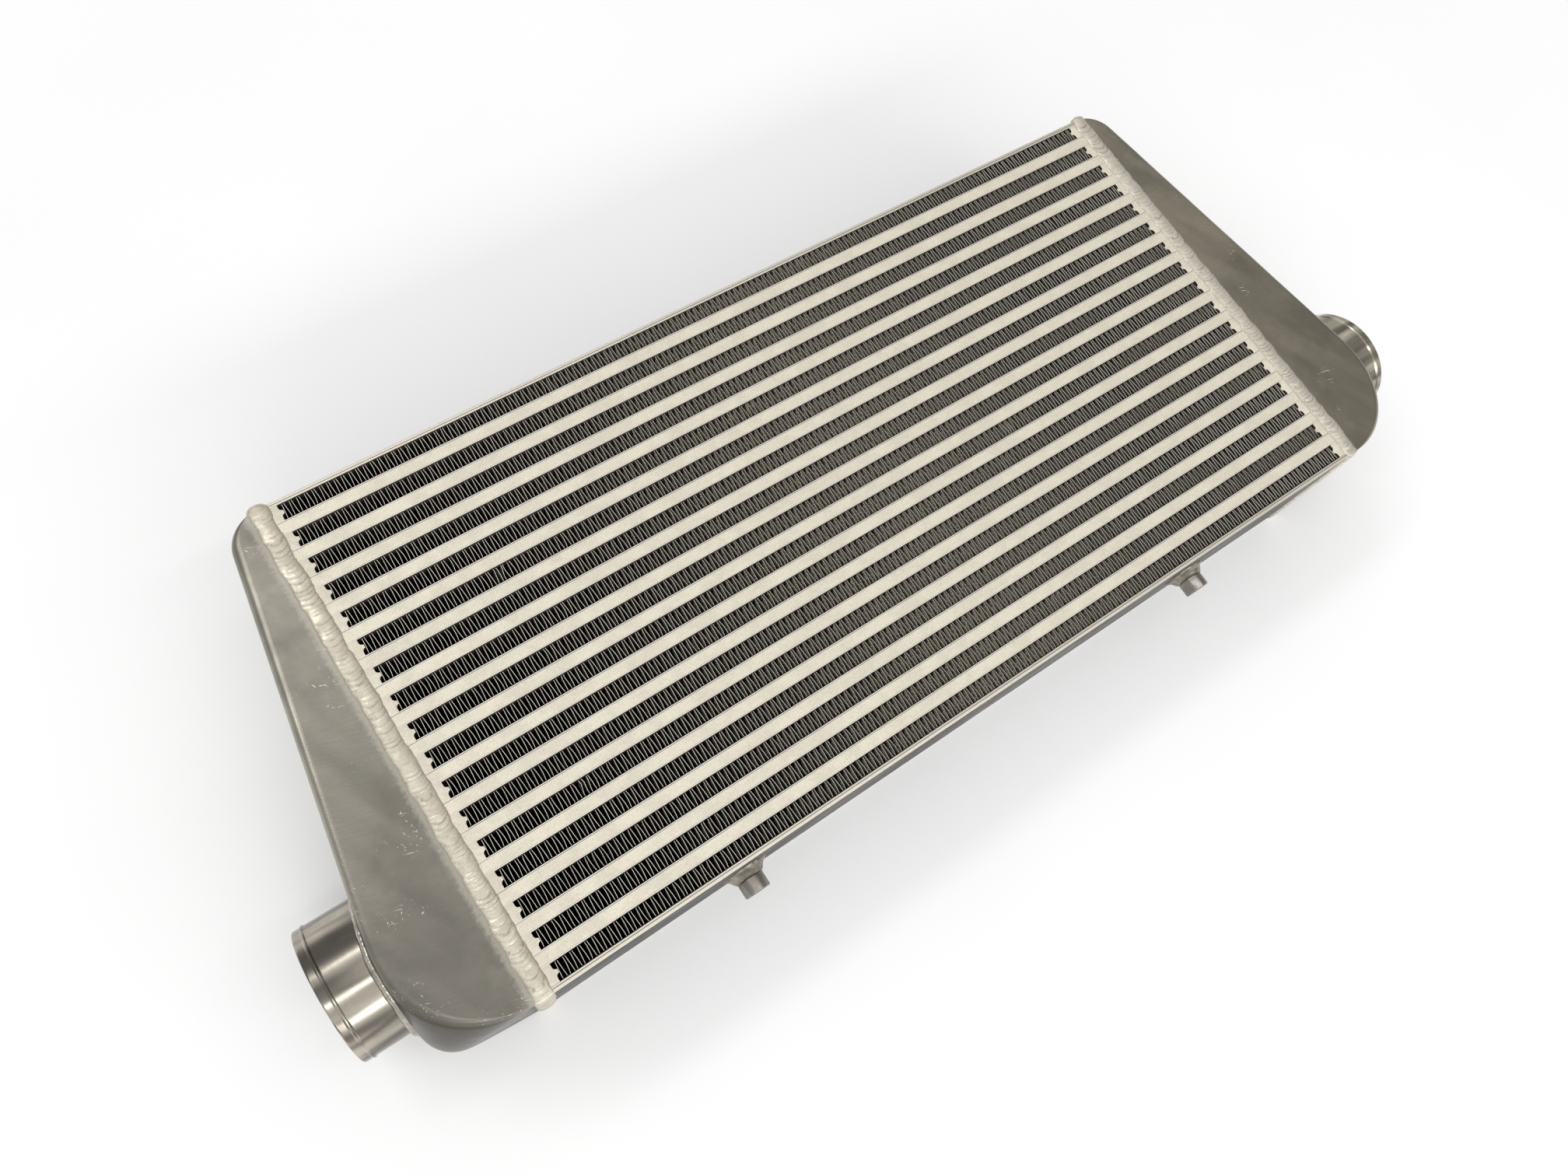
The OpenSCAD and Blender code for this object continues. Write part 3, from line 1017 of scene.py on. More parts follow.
@dataclass(frozen=True)
class BarFinish(MetalFinish):
    """Blasted bars, with the hairline joint between each bar and its sheets."""

    pitch: float = 0.01775
    first: float = 0.0
    half: float = 0.003375
    line: float = 0.00038
    line_colour: Triple = (0.08, 0.07, 0.055)
    open_scale: float = 45.0

    def extra(self, g: Paint, place: Num, colour: Num, rough: Num) -> tuple[Num, Num]:
        """Adds the joints, which show more above a bar than below it, and not everywhere.

        Args:
            g: the material's tree.
            place: the place of the point on the object.
            colour: the colour so far.
            rough: the roughness so far.

        Returns:
            The colour and the roughness with the marks on them.
        """
        x, y, _ = place.parts()
        beyond = y - self.first + 0.5 * self.pitch
        local = beyond.op("FLOORED_MODULO", self.pitch) - 0.5 * self.pitch
        line = (self.half - abs(local)).remap((0.5 * self.line, self.line), FADE)
        above = local.remap((-MM, MM), (0.3, 1.0))
        open_here = g.noise(g.vector(x * 0.35, y), self.open_scale, 3.0)
        open_here = open_here.remap((0.3, 0.5), (0.2, 0.95), True)
        return g.blend(line * above * open_here, colour, self.line_colour), rough


@dataclass(frozen=True)
class RowEndFinish(MetalFinish):
    """Blasted closing bars, with painted shade on their faces inside their rows."""

    inside_shade_z: Pair = (0.0496, 0.0499)
    inside_shade_colour: Triple = (0.06, 0.055, 0.045)
    middle_z: float = 0.0518

    def extra(self, g: Paint, place: Num, colour: Num, rough: Num) -> tuple[Num, Num]:
        """Paints shade on what lies behind the blasted faces.

        Args:
            g: the material's tree.
            place: the place of the point on the object.
            colour: the colour so far.
            rough: the roughness so far.

        Returns:
            The colour and the roughness with the marks on them.
        """
        outwards = abs(place.parts()[2] - self.middle_z)
        # painted shade: the faces behind the blasted front are dark
        return g.blend(outwards.remap(self.inside_shade_z), self.inside_shade_colour, colour), rough


@dataclass
class Finishes:
    """All the finishes of the object, built once."""

    effects: Effects = field(default_factory=Effects)

    def __post_init__(self) -> None:
        """Builds the materials."""
        core = CoreSizes()
        blasted = {
            "metallic": 0.3, "roughness": (0.5, 0.6), "patch_scale": 70.0, "grain_scale": 1400.0,
            "grain_depth": 0.00008, "grain_shade": 0.2,
            "scratch_amount": 0.1, "scratch_colour": (0.8, 0.76, 0.68),
        }
        beaded = {"grain_scale": 1500.0, "scratch_amount": 0.0}
        self.bar = BarFinish(
            "blasted_bar", (0.82, 0.762, 0.625), (0.75, 0.692, 0.573), **blasted,
            pitch=core.pitch, first=core.bar_y(0), half=core.channel_height / 2,
        ).material(self.effects)
        self.row_end = RowEndFinish(
            "blasted_row_end", (0.8, 0.742, 0.61), (0.73, 0.672, 0.557), **blasted,
        ).material(self.effects)
        self.sheet = EdgedFinish(
            "rolled_sheet", (0.16, 0.148, 0.122), (0.1, 0.092, 0.075), 0.5, (0.45, 0.55),
            patch_scale=120.0, grain_depth=0.00003,
            edge_z=(0.0497, 0.04995), edge_colour=(0.8, 0.765, 0.69),
        ).material(self.effects)
        # painted shade: the end sheets' near-black grey stands in for shade and dark reflection on bare sheet;
        # their clean front edges and joint line are their own
        self.end = EdgedFinish(
            "end_sheet_painted_shade", (0.1, 0.098, 0.09), (0.075, 0.073, 0.067), 0.5, (0.42, 0.52), 0.12,
            patch_scale=14.0, grain_scale=900.0, grain_depth=0.00009, scratch_amount=0.7,
            speck_scale=300.0, speck_size=0.13, speck_share=0.05, wave_scale=14.0, wave_depth=0.0006,
            edge_z=(0.0494, 0.0498), edge_colour=(0.74, 0.69, 0.59), joint_y=0.1482, joint_width=0.00022,
        ).material(self.effects)
        # painted shade: the fin strips' near-black base colour stands in for the shade deep inside the core; their
        # clean front edges keep their own colour
        self.fin = FinFinish(
            "fin_strip", (0.05, 0.046, 0.038), (0.03, 0.028, 0.023), 0.0, (0.42, 0.52), 0.15,
            patch_scale=90.0, grain_scale=2500.0, grain_depth=0.00002, scratch_amount=0.1,
            edge_z=(0.04925, 0.0494), edge_colour=(0.8, 0.76, 0.66), edge_rough=0.42,
            pitch=core.pitch, first=core.row_y(0), height=core.row_height,
        ).material(self.effects)
        self.inside = MetalFinish(
            "inside_strip", (0.4, 0.4, 0.39), (0.3, 0.3, 0.3), 0.8, (0.45, 0.6),
        ).material(self.effects)
        self.tank = CastFinish(
            "linished_casting", (0.38, 0.358, 0.304), (0.255, 0.24, 0.205), 1.0, (0.25, 0.34),
            patch_scale=16.0, grain_scale=1200.0, grain_depth=0.000012, grain_shade=0.06,
            scratch_amount=0.6, speck_scale=46.0, speck_size=0.07, speck_share=0.14,
            wave_scale=22.0, wave_depth=0.0004, brush=0.035, brush_angle=0.35,
        ).material(self.effects)
        self.pipe = PipeFinish(
            "polished_pipe", (0.5, 0.462, 0.39), (0.38, 0.352, 0.3), 1.0, (0.15, 0.22),
            patch_scale=30.0, grain_depth=0.000006, grain_shade=0.05, scratch_amount=0.25,
            ring_scale=700.0, ring_depth=0.00005,
        ).material(self.effects)
        self.weld = WeldFinish(
            "weld_metal", (0.76, 0.71, 0.6), (0.62, 0.575, 0.48), 0.65, (0.3, 0.5), **beaded,
            patch_scale=160.0, grain_depth=0.00004, wave_scale=650.0, wave_depth=0.0001,
        ).material(self.effects)
        self.pipe_weld = WeldFinish(
            "bright_weld_metal", (0.55, 0.52, 0.46), (0.4, 0.375, 0.33), 1.0, (0.22, 0.34), **beaded,
            patch_scale=130.0, grain_depth=0.00002,
        ).material(self.effects)
        self.boss_weld = WeldFinish(
            "boss_weld_metal", (0.36, 0.335, 0.28), (0.22, 0.205, 0.17), 1.0, (0.24, 0.4), **beaded,
            patch_scale=200.0, grain_depth=0.00004, wave_scale=500.0, wave_depth=0.0002,
        ).material(self.effects)
        self.boss = MetalFinish(
            "turned_boss", (0.34, 0.32, 0.28), (0.24, 0.225, 0.2), 1.0, (0.24, 0.36),
            patch_scale=70.0, grain_depth=0.00002, scratch_amount=0.4,
        ).material(self.effects)


# ---------------------------------------------------------------- the core


@dataclass(frozen=True)
class CoreSizes:
    """Sizes of the brazed core and of the bosses on it, as in the part's source."""

    length: float = 0.6
    thickness: float = 0.1
    rows: int = 17
    row_height: float = 0.01
    channel_height: float = 0.00675
    sheet: float = 0.0005
    end_sheet: float = 0.003
    bar_depth: float = 0.0065
    fin_pitch: float = 0.002125
    fin_legs: int = 272
    fin_inset: float = 0.0005
    centre_y: float = 0.0066
    rear_z: float = 0.0018
    boss_gap: float = 0.35
    boss_d: float = 0.016

    @property
    def end_x(self) -> float:
        """Half the core's length."""
        return self.length / 2

    @property
    def pitch(self) -> float:
        """One cooling row and one charge channel with their two sheets."""
        return self.row_height + self.channel_height + 2 * self.sheet

    @property
    def height(self) -> float:
        """The core's size along Y."""
        return self.rows * self.pitch - self.channel_height - 2 * self.sheet + 2 * self.end_sheet

    @property
    def bottom_y(self) -> float:
        """The core's lower face."""
        return self.centre_y - self.height / 2

    @property
    def top_y(self) -> float:
        """The core's upper face."""
        return self.centre_y + self.height / 2

    @property
    def front_z(self) -> float:
        """The core's front face."""
        return self.rear_z + self.thickness

    @property
    def mid_z(self) -> float:
        """The middle of the core's thickness."""
        return self.rear_z + self.thickness / 2

    def row_y(self, row: int) -> float:
        """The lower edge of a cooling row, counted from 0."""
        return self.bottom_y + self.end_sheet + row * self.pitch

    def bar_y(self, bar: int) -> float:
        """The middle of a charge bar, counted from 0."""
        return self.row_y(bar) + self.row_height + self.sheet + self.channel_height / 2


@dataclass
class CoreBlock:
    """The solid pieces of the core: its bars and sheets."""

    sizes: CoreSizes
    bar_edge: float = 0.00016
    row_end_edge: float = 0.00012
    plate_edge: float = 0.0004

    def bar_tree(self) -> GeometryTree:
        """Builds the tree that lays out a stack of equal bars with rounded edges.

        Returns:
            The finished tree.
        """
        tree = GeometryTree(
            "bar_stack", count=16, pitch=0.018, first=0.0, face=0.1, length=0.6, height=0.007, depth=0.0065,
            edge=0.0002,
        )
        inputs = {"Width": tree.size("Depth"), "Height": tree.size("Height")}
        outline = tree.out("GeometryNodeCurvePrimitiveQuadrilateral", inputs)
        inputs = {"Curve": outline, "Radius": tree.size("Edge"), "Count": 3}
        rounded = tree.out("GeometryNodeFilletCurve", inputs, mode="POLY")
        face = tree.out("GeometryNodeFillCurve", {"Curve": rounded}, mode="NGONS")
        start = tree.vector(tree.size("Length") * -0.5)
        bar = tree.moved(
            tree.walled(face, tree.size("Length")), rotation=(0.0, math.pi / 2, 0.0), translation=start
        )
        places = tree.line(
            tree.size("Count"), tree.vector(0.0, tree.size("First"), tree.size("Face")),
            tree.vector(0.0, tree.size("Pitch"), 0.0),
        )
        tree.finish(tree.copies(places, bar), smooth=False)
        return tree

    def build(self, finishes: Finishes) -> None:
        """Makes the bars at both faces and dresses the sheets and the closing bars.

        Args:
            finishes: the materials of the object.
        """
        s = self.sizes
        tree = self.bar_tree()
        for word, z in (("front", s.front_z - s.bar_depth / 2), ("rear", s.rear_z + s.bar_depth / 2)):
            bars = tree.run(
                "bars_" + word, count=s.rows - 1, pitch=s.pitch, first=s.bar_y(0), face=z, length=s.length,
                height=s.channel_height, depth=s.bar_depth, edge=self.bar_edge, material=finishes.bar,
            )
            dress(bars, finishes.bar, "bar", "charge_bars_" + word)
        for side in Side:
            node = "closing_bars_" + side.word
            dress(softened(node, "row_ends_" + side.word, self.row_end_edge), finishes.row_end, "bar", node)
        for word in ("top", "bottom"):
            node = "end_sheet_" + word
            dress(softened(node, "end_plate_" + word, self.plate_edge), finishes.end, "end_sheet", node)
        dress_node("parting_sheets", finishes.sheet)
        for number in range(1, s.rows):
            dress_node(f"charge_fin_{number:02d}", finishes.inside)


@dataclass
class CoolingFins:
    """The folded and louvred strips in the open rows."""

    sizes: CoreSizes
    thickness: float = 0.00023
    steps: int = 8
    tip: float = 0.004
    fold_width: float = 0.1
    fold_corner: float = 0.02
    fold_flat: float = 0.24
    jitter: float = 0.00013
    drift: float = 0.0016
    drift_scale: float = 0.045
    drift_seed: float = 17.3
    bow: float = 0.0014
    bow_scale: float = 0.21
    bow_seed: float = 5.9
    bow_middle: float = 0.42
    lean: float = 0.08
    slat: float = 0.0001
    louvre: float = 0.00105
    louvre_share: float = 0.66
    louvre_pitch: float = 0.0012
    louvre_start: float = 0.0016
    louvre_turn: float = 24.0
    louvres_front: int = 4
    louvres_rear: int = 1
    bent: float = 0.0011
    bent_scale: float = 42.0
    bent_range: Pair = (0.69, 0.78)
    first_seed: int = 3

    def place_along(self, tree: GeometryTree, fold: Num, share: Value) -> Num:
        """Returns the place along the row of a point on the leg that starts at a fold.

        Args:
            tree: the fin tree.
            fold: the leg's number, counted from 0.
            share: how far along the leg the point is, from 0 to 1.

        Returns:
            The place in X, with the small errors of a folded strip.
        """
        seed = tree.size("Seed")
        here = tree.random(-self.jitter, self.jitter, fold, seed)
        there = tree.random(-self.jitter, self.jitter, fold + 1.0, seed)
        error = (there - here).madd(share, here)
        drift = tree.noise_along(fold.madd(self.drift_scale, seed * self.drift_seed))
        drift = (drift - 0.5) * self.drift
        even = fold + share - tree.size("Legs") * 0.5
        return even.madd(tree.size("Pitch"), error) + drift

    def bulge(self, tree: GeometryTree, fold: Num) -> Num:
        """Returns how far a leg bows out in the middle. Neighbours bow alike."""
        place = fold.madd(self.bow_scale, tree.size("Seed") * self.bow_seed)
        return (tree.noise_along(place, 2.0) - self.bow_middle) * self.bow

    def ribbon(self, tree: GeometryTree) -> Num:
        """Returns the folded strip itself, as a thin closed shell.

        Args:
            tree: the fin tree.

        Returns:
            The mesh of the strip.
        """
        mesh, across, deep = tree.grid(tree.size("Legs").madd(float(self.steps), 1.0), 3)
        run = across * tree.size("Legs")
        fold = (run + 0.001).op("FLOOR")
        share = run - fold
        angle = share * math.pi
        swing = (angle * 2.0).op("SINE") * self.fold_width
        corner = (angle * 4.0).op("SINE") * self.fold_corner
        climb = share.remap((self.fold_flat, 1.0 - self.fold_flat))
        level = abs(fold.op("FLOORED_MODULO", 2.0) - climb)
        bow = self.bulge(tree, fold) * (climb * math.pi).op("SINE")
        x = self.place_along(tree, fold, share + (swing + corner)) + bow
        room = tree.size("Height") - 2 * self.thickness
        y = level.madd(room, self.thickness) + tree.size("Base")
        body = (deep * 2.0).clamp() * (tree.size("Depth") - self.tip)
        front = (deep * 2.0 - 1.0).clamp()
        z = body + front * self.tip + tree.size("Rear")
        spot = tree.noise(tree.vector(x, y, tree.size("Seed")), self.bent_scale)
        bent = spot.remap(self.bent_range, (0.0, self.bent)) * front
        return tree.walled(tree.placed(mesh, tree.vector(x + bent, y, z)), self.thickness)

    def bank(self, tree: GeometryTree, count: int, start: Num, step: float) -> Num:
        """Returns a bank of louvres behind one face, as instances.

        Args:
            tree: the fin tree.
            count: how many louvres there are.
            start: the place in Z of the first one.
            step: the way to the next one.

        Returns:
            The louvres of one leg.
        """
        size = tree.vector(self.slat, tree.size("Height") * self.louvre_share, self.louvre)
        slat = tree.out("GeometryNodeMeshCube", {"Size": size})
        leaning = tree.moved(slat, rotation=(0.0, math.radians(self.louvre_turn), 0.0))
        return tree.copies(tree.line(count, tree.vector(0.0, 0.0, start), (0.0, 0.0, step)), leaning)

    def louvres(self, tree: GeometryTree) -> Num:
        """Returns the banks of louvres on all the legs, near the front and the rear.

        Args:
            tree: the fin tree.

        Returns:
            The louvres of the whole strip.
        """
        rear = tree.size("Rear")
        front = rear + tree.size("Depth")
        both = tree.joined(
            self.bank(tree, self.louvres_front, front - self.louvre_start, -self.louvre_pitch),
            self.bank(tree, self.louvres_rear, rear + self.louvre_start, self.louvre_pitch),
        )
        legs = tree.out("GeometryNodeMeshLine", {"Count": tree.size("Legs"), "Offset": (1.0, 0.0, 0.0)})
        fold = tree.out("GeometryNodeInputIndex")
        x = self.place_along(tree, fold, 0.5) + self.bulge(tree, fold)
        y = tree.size("Height").madd(0.5, tree.size("Base"))
        turn = fold.op("FLOORED_MODULO", 2.0).madd(2.0, -1.0) * self.lean
        legs = tree.placed(legs, tree.vector(x, y, 0.0))
        return tree.copies(legs, both, rotation=tree.vector(0.0, 0.0, turn))

    def build(self, finishes: Finishes) -> None:
        """Makes one strip for each open row.

        Args:
            finishes: the materials of the object.
        """
        s = self.sizes
        tree = GeometryTree(
            "folded_fin", legs=270, pitch=0.002125, height=0.01, base=0.0, rear=0.0, depth=0.1, seed=1
        )
        tree.finish(tree.joined(self.ribbon(tree), self.louvres(tree)), smooth=False)
        for row in range(s.rows):
            strip = tree.run(
                f"fin_strip_{row + 1:02d}", legs=s.fin_legs, pitch=s.fin_pitch, height=s.row_height,
                base=s.row_y(row), rear=s.rear_z + s.fin_inset, depth=s.thickness - 2 * s.fin_inset,
                seed=self.first_seed + row, material=finishes.fin,
            )
            dress(strip, finishes.fin, "cooling_fin", f"cooling_fin_{row + 1:02d}")


# ---------------------------------------------------------------- tanks and pipes


@dataclass(frozen=True)
class TankSizes:
    """Sizes of a tank and its pipe, as in the part's source."""

    top_reach: float = 0.019
    top_fall: float = 0.001
    low_rise: float = 0.0035
    pipe_reach: float = 0.06
    wall: float = 0.003
    top_r: float = 0.02
    side_r: float = 0.02
    face_r: float = 0.055
    edge_r: float = 0.0055
    pipe_d: float = 0.076
    pipe_wall: float = 0.002
    pipe_out: float = 0.0285
    pipe_low: float = 0.0635
    pipe_in: float = 0.01
    bead_rise: float = 0.0006
    bead_width: float = 0.0024
    bead_in: float = 0.0055


def corner_arc(a: Vector, c: Vector, b: Vector, radius: float, steps: int) -> list[Vector]:
    """Rounds a corner.

    Args:
        a: a point on the line before the corner.
        c: the corner.
        b: a point on the line after it.
        radius: the radius of the arc.
        steps: the number of steps along the arc.

    Returns:
        The points of the arc, from the first line to the second.
    """
    u, v = (a - c).normalized(), (b - c).normalized()
    half = u.angle(v) / 2
    start = c + u * (radius / math.tan(half))
    middle = c + (u + v).normalized() * (radius / math.sin(half))
    way = -1 if u.x * v.y > u.y * v.x else 1
    arm = start - middle
    points = []
    for k in range(steps + 1):
        turn = way * (math.pi - 2 * half) * k / steps
        points.append(middle + Vector((
            arm.x * math.cos(turn) - arm.y * math.sin(turn), arm.x * math.sin(turn) + arm.y * math.cos(turn)
        )))
    return points


@dataclass
class CastTank:
    """A cast tank on one end of the core."""

    core: CoreSizes
    tank: TankSizes
    side: Side
    arc_steps: tuple[int, int, int] = (12, 6, 30)
    edge_steps: int = 10
    wall_steps: int = 10
    drill_reach: float = 0.03
    drill_steps: int = 128
    big_face: float = 0.002

    def outline(self, inset: float, cut: float, low_r: float) -> list[Vector]:
        """The tank's outline in one level, from the top of the core round to the bottom.

        Args:
            inset: how far inside the casting's skin the outline is.
            cut: what the rounding along the faces takes off at this level.
            low_r: the corner radius at the pipe end at this level.

        Returns:
            The points of the outline.
        """
        c, t = self.core, self.tank
        off = cut + inset
        wall_x = c.end_x + t.pipe_reach
        top = Vector((c.end_x, c.top_y - inset))
        shallow = Vector((c.end_x + t.top_reach - off, c.top_y - t.top_fall - 0.4 * cut - inset))
        bend = Vector((wall_x - off, c.bottom_y + t.pipe_low))
        low = Vector((wall_x - off, c.bottom_y + t.low_rise + 0.6 * cut + inset))
        bottom = Vector((c.end_x, c.bottom_y + inset))
        return [
            top,
            *corner_arc(top, shallow, bend, t.top_r - 0.5 * off, self.arc_steps[0]),
            *corner_arc(shallow, bend, low, t.pipe_d, self.arc_steps[1]),
            *corner_arc(bend, low, bottom, low_r - inset, self.arc_steps[2]),
            bottom,
        ]

    def levels(self, inset: float) -> list[Pair]:
        """Height above the middle and cut of each level, from the front face to the rear one.

        Args:
            inset: how far inside the casting's skin the levels are.

        Returns:
            The height and the cut of each level.
        """
        rounding, half = self.tank.edge_r - inset, self.core.thickness / 2 - inset
        upper = []
        for k in range(self.edge_steps + 1):
            phi = math.pi / 2 * k / self.edge_steps
            upper.append((half - rounding * (1 - math.cos(phi)), rounding * (1 - math.sin(phi))))
        wall = range(1, self.wall_steps + 1)
        upper += [((half - rounding) * (1 - k / self.wall_steps), 0.0) for k in wall]
        return upper + [(-z, cut) for z, cut in reversed(upper[:-1])]

    def skin(self, inset: float) -> tuple[list[Vector], int]:
        """Points of the skin level by level, and how many there are in a level.

        Args:
            inset: how far inside the casting's skin the points are.

        Returns:
            The points, and the number in each level.
        """
        t, half = self.tank, self.core.thickness / 2 - inset
        points, count = [], 0
        for z, cut in self.levels(inset):
            share = math.cos(math.pi / 2 * z / half)
            ring = self.outline(inset, cut, t.face_r + (t.side_r - t.face_r) * share)
            count = len(ring)
            points += [Vector((p.x * self.side.value, p.y, self.core.mid_z + z)) for p in ring]
        return points, count

    def shell(self) -> Object:
        """Makes the casting's outer and inner skins with the rim of its mouth.

        Returns:
            The casting before its hole is drilled.
        """
        outer, count = self.skin(0.0)
        inner, _ = self.skin(self.tank.wall)
        far, rows = len(outer), len(outer) // count
        faces: list[tuple[int, ...]] = []
        for start in (0, far):
            for r in range(rows - 1):
                for n in range(count - 1):
                    a = start + r * count + n
                    faces.append((a, a + count, a + count + 1, a + 1))
            faces.append(tuple(start + n for n in range(count)))
            faces.append(tuple(start + (rows - 1) * count + n for n in range(count)))
        loop = [r * count for r in range(rows)] + [r * count + count - 1 for r in reversed(range(rows))]
        faces += [(a, b, b + far, a + far) for a, b in zip(loop, loop[1:] + loop[:1])]
        return mesh_object("casting_" + self.side.word, outer + inner, faces)

    def build(self, finishes: Finishes) -> None:
        """Makes the casting and drills the hole for its pipe.

        Args:
            finishes: the materials of the object.
        """
        c, t, sign = self.core, self.tank, self.side.value
        host = self.shell()
        axis = Matrix.Translation((sign * (c.end_x + t.pipe_reach), c.bottom_y + t.pipe_low, c.mid_z))
        axis = axis @ Matrix.Rotation(math.pi / 2, 4, "Y")
        reach, radius = self.drill_reach, t.pipe_d / 2
        section = ((0.0, -reach), (radius, -reach), (radius, reach), (0.0, reach))
        drill = turned("drill", [section] * self.drill_steps, axis)
        hole = host.modifiers.new("hole", "BOOLEAN")
        hole.operation, hole.solver, hole.object = "DIFFERENCE", "EXACT", drill
        made = settled(host, "cast_tank_" + self.side.word)
        bpy.data.objects.remove(drill)
        self.settle_faces(sharpened(made, degrees=32))
        dress(made, finishes.tank, "tank", "tank_" + self.side.word)

    def settle_faces(self, piece: Object) -> None:
        """Marks the rim of each big flat face as sharp, so that the face stays evenly lit.

        Args:
            piece: the casting.
        """
        mesh = piece.data
        flat = {tuple(sorted(key)) for f in mesh.polygons if f.area > self.big_face for key in f.edge_keys}
        sharp = mesh.attributes.get("sharp_edge") or mesh.attributes.new("sharp_edge", "BOOLEAN", "EDGE")
        for edge in mesh.edges:
            if tuple(sorted(edge.vertices)) in flat:
                sharp.data[edge.index].value = True


@dataclass
class HosePipe:
    """A pipe with a rolled bead, for a hose."""

    core: CoreSizes
    tank: TankSizes
    side: Side
    around: int = 160
    bead_steps: int = 8
    bead_division: int = 13
    bead_foot: float = 0.58

    def bead(self, offset: float) -> float:
        """How far the rolled bead stands out at a distance from its centre line.

        Args:
            offset: the distance along the pipe.

        Returns:
            The height of the bead there.
        """
        half = self.tank.bead_width * self.bead_foot
        if abs(offset) >= half:
            return 0.0
        return self.tank.bead_rise * (0.5 + 0.5 * math.cos(math.pi * offset / half))

    def section(self) -> list[Pair]:
        """The pipe's closed section: radius, and place along the pipe from its inner end.

        Returns:
            The points in order round the section.
        """
        t = self.tank
        length = t.pipe_out + t.pipe_in
        outer, inner = t.pipe_d / 2, t.pipe_d / 2 - t.pipe_wall
        centre = length - t.bead_in
        count = self.bead_steps
        steps = [centre + k * t.bead_width / self.bead_division for k in range(-count, count + 1)]
        rim = [(outer, 1.6), (outer - 0.05 * MM, 0.8), (outer - 0.3 * MM, 0.25), (outer - 0.8 * MM, 0.0),
               (inner + 0.6 * MM, 0.0), (inner + 0.15 * MM, 0.2), (inner, 0.7)]
        out = [(outer, 0.0)]
        out += [(outer + self.bead(z - centre), z) for z in steps]
        out += [(r, length - back * MM) for r, back in rim]
        out += [(inner + self.bead(z - centre), z) for z in reversed(steps)]
        return [*out, (inner, 0.0)]

    def build(self, finishes: Finishes) -> None:
        """Makes the pipe.

        Args:
            finishes: the materials of the object.
        """
        c, t, sign = self.core, self.tank, self.side.value
        start = sign * (c.end_x + t.pipe_reach - t.pipe_in)
        place = Matrix.Translation((start, c.bottom_y + t.pipe_low, c.mid_z))
        place = place @ Matrix.Rotation(sign * math.pi / 2, 4, "Y")
        made = turned("hose_pipe_" + self.side.word, [self.section()] * self.around, place)
        dress(sharpened(made, degrees=40), finishes.pipe, "pipe", "pipe_" + self.side.word)


@dataclass
class MountingBoss:
    """A round boss with a tapped hole, welded to the lower end sheet."""

    core: CoreSizes
    side: Side
    height: float = 0.015
    tap_drill: float = 0.0068
    tap_depth: float = 0.012
    thread_pitch: float = 0.00125
    thread_depth: float = 0.00055
    lead_in: float = 0.0008
    flare: float = 0.0006
    around: int = 64
    turn_steps: int = 8

    def thread(self, turn: float, depth: float) -> float:
        """Radius of the tapped hole at an angle and a depth below its mouth.

        Args:
            turn: the angle.
            depth: the depth.

        Returns:
            The radius there.
        """
        core_r = self.tap_drill / 2
        if depth < self.lead_in:
            return core_r + self.thread_depth + self.flare * (1 - depth / self.lead_in)
        wave = (depth / self.thread_pitch + turn / (2 * math.pi)) % 1.0
        return core_r + self.thread_depth * (1 - abs(2 * wave - 1))

    def build(self, finishes: Finishes) -> None:
        """Makes the boss with a real helical thread.

        Args:
            finishes: the materials of the object.
        """
        radius, top = self.core.boss_d / 2, self.height
        body = [(radius, 0.0), (radius, top - 0.9 * MM)]
        body += [(radius - 0.2 * MM, top - 0.4 * MM), (radius - 0.7 * MM, top)]
        rows = int(self.tap_depth / self.thread_pitch * self.turn_steps)
        depths = [self.tap_depth * n / rows for n in range(rows + 1)]
        sections = []
        for k in range(self.around):
            turn = 2 * math.pi * k / self.around
            hole = [(self.thread(turn, depth), top - depth) for depth in depths]
            sections.append([*body, *hole, (0.0, top - self.tap_depth), (0.0, 0.0)])
        place = Matrix.Translation((self.side.value * self.core.boss_gap / 2, self.core.bottom_y, self.core.mid_z))
        place = place @ Matrix.Rotation(math.pi / 2, 4, "X")
        on_axis = len(sections[0]) - 2
        made = turned("mounting_boss_" + self.side.word, sections, place, skip=(on_axis,))
        dress(sharpened(made, degrees=35), finishes.boss, "boss", "boss_" + self.side.word)


# ---------------------------------------------------------------- welds


LUMP_REACH = 0.008
CRATER_REACH = 0.005


@dataclass(frozen=True)
class BeadErrors:
    """The scale per metre of each smooth error of a bead, and its size where no input gives it."""

    phase: Pair = (95.0, 1.5)
    force: Pair = (60.0, 0.8)
    width: Pair = (120.0, 0.13)
    height: Pair = (110.0, 0.15)
    grain: Pair = (420.0, 0.04)
    wander: float = 70.0
    clear: float = 100.0


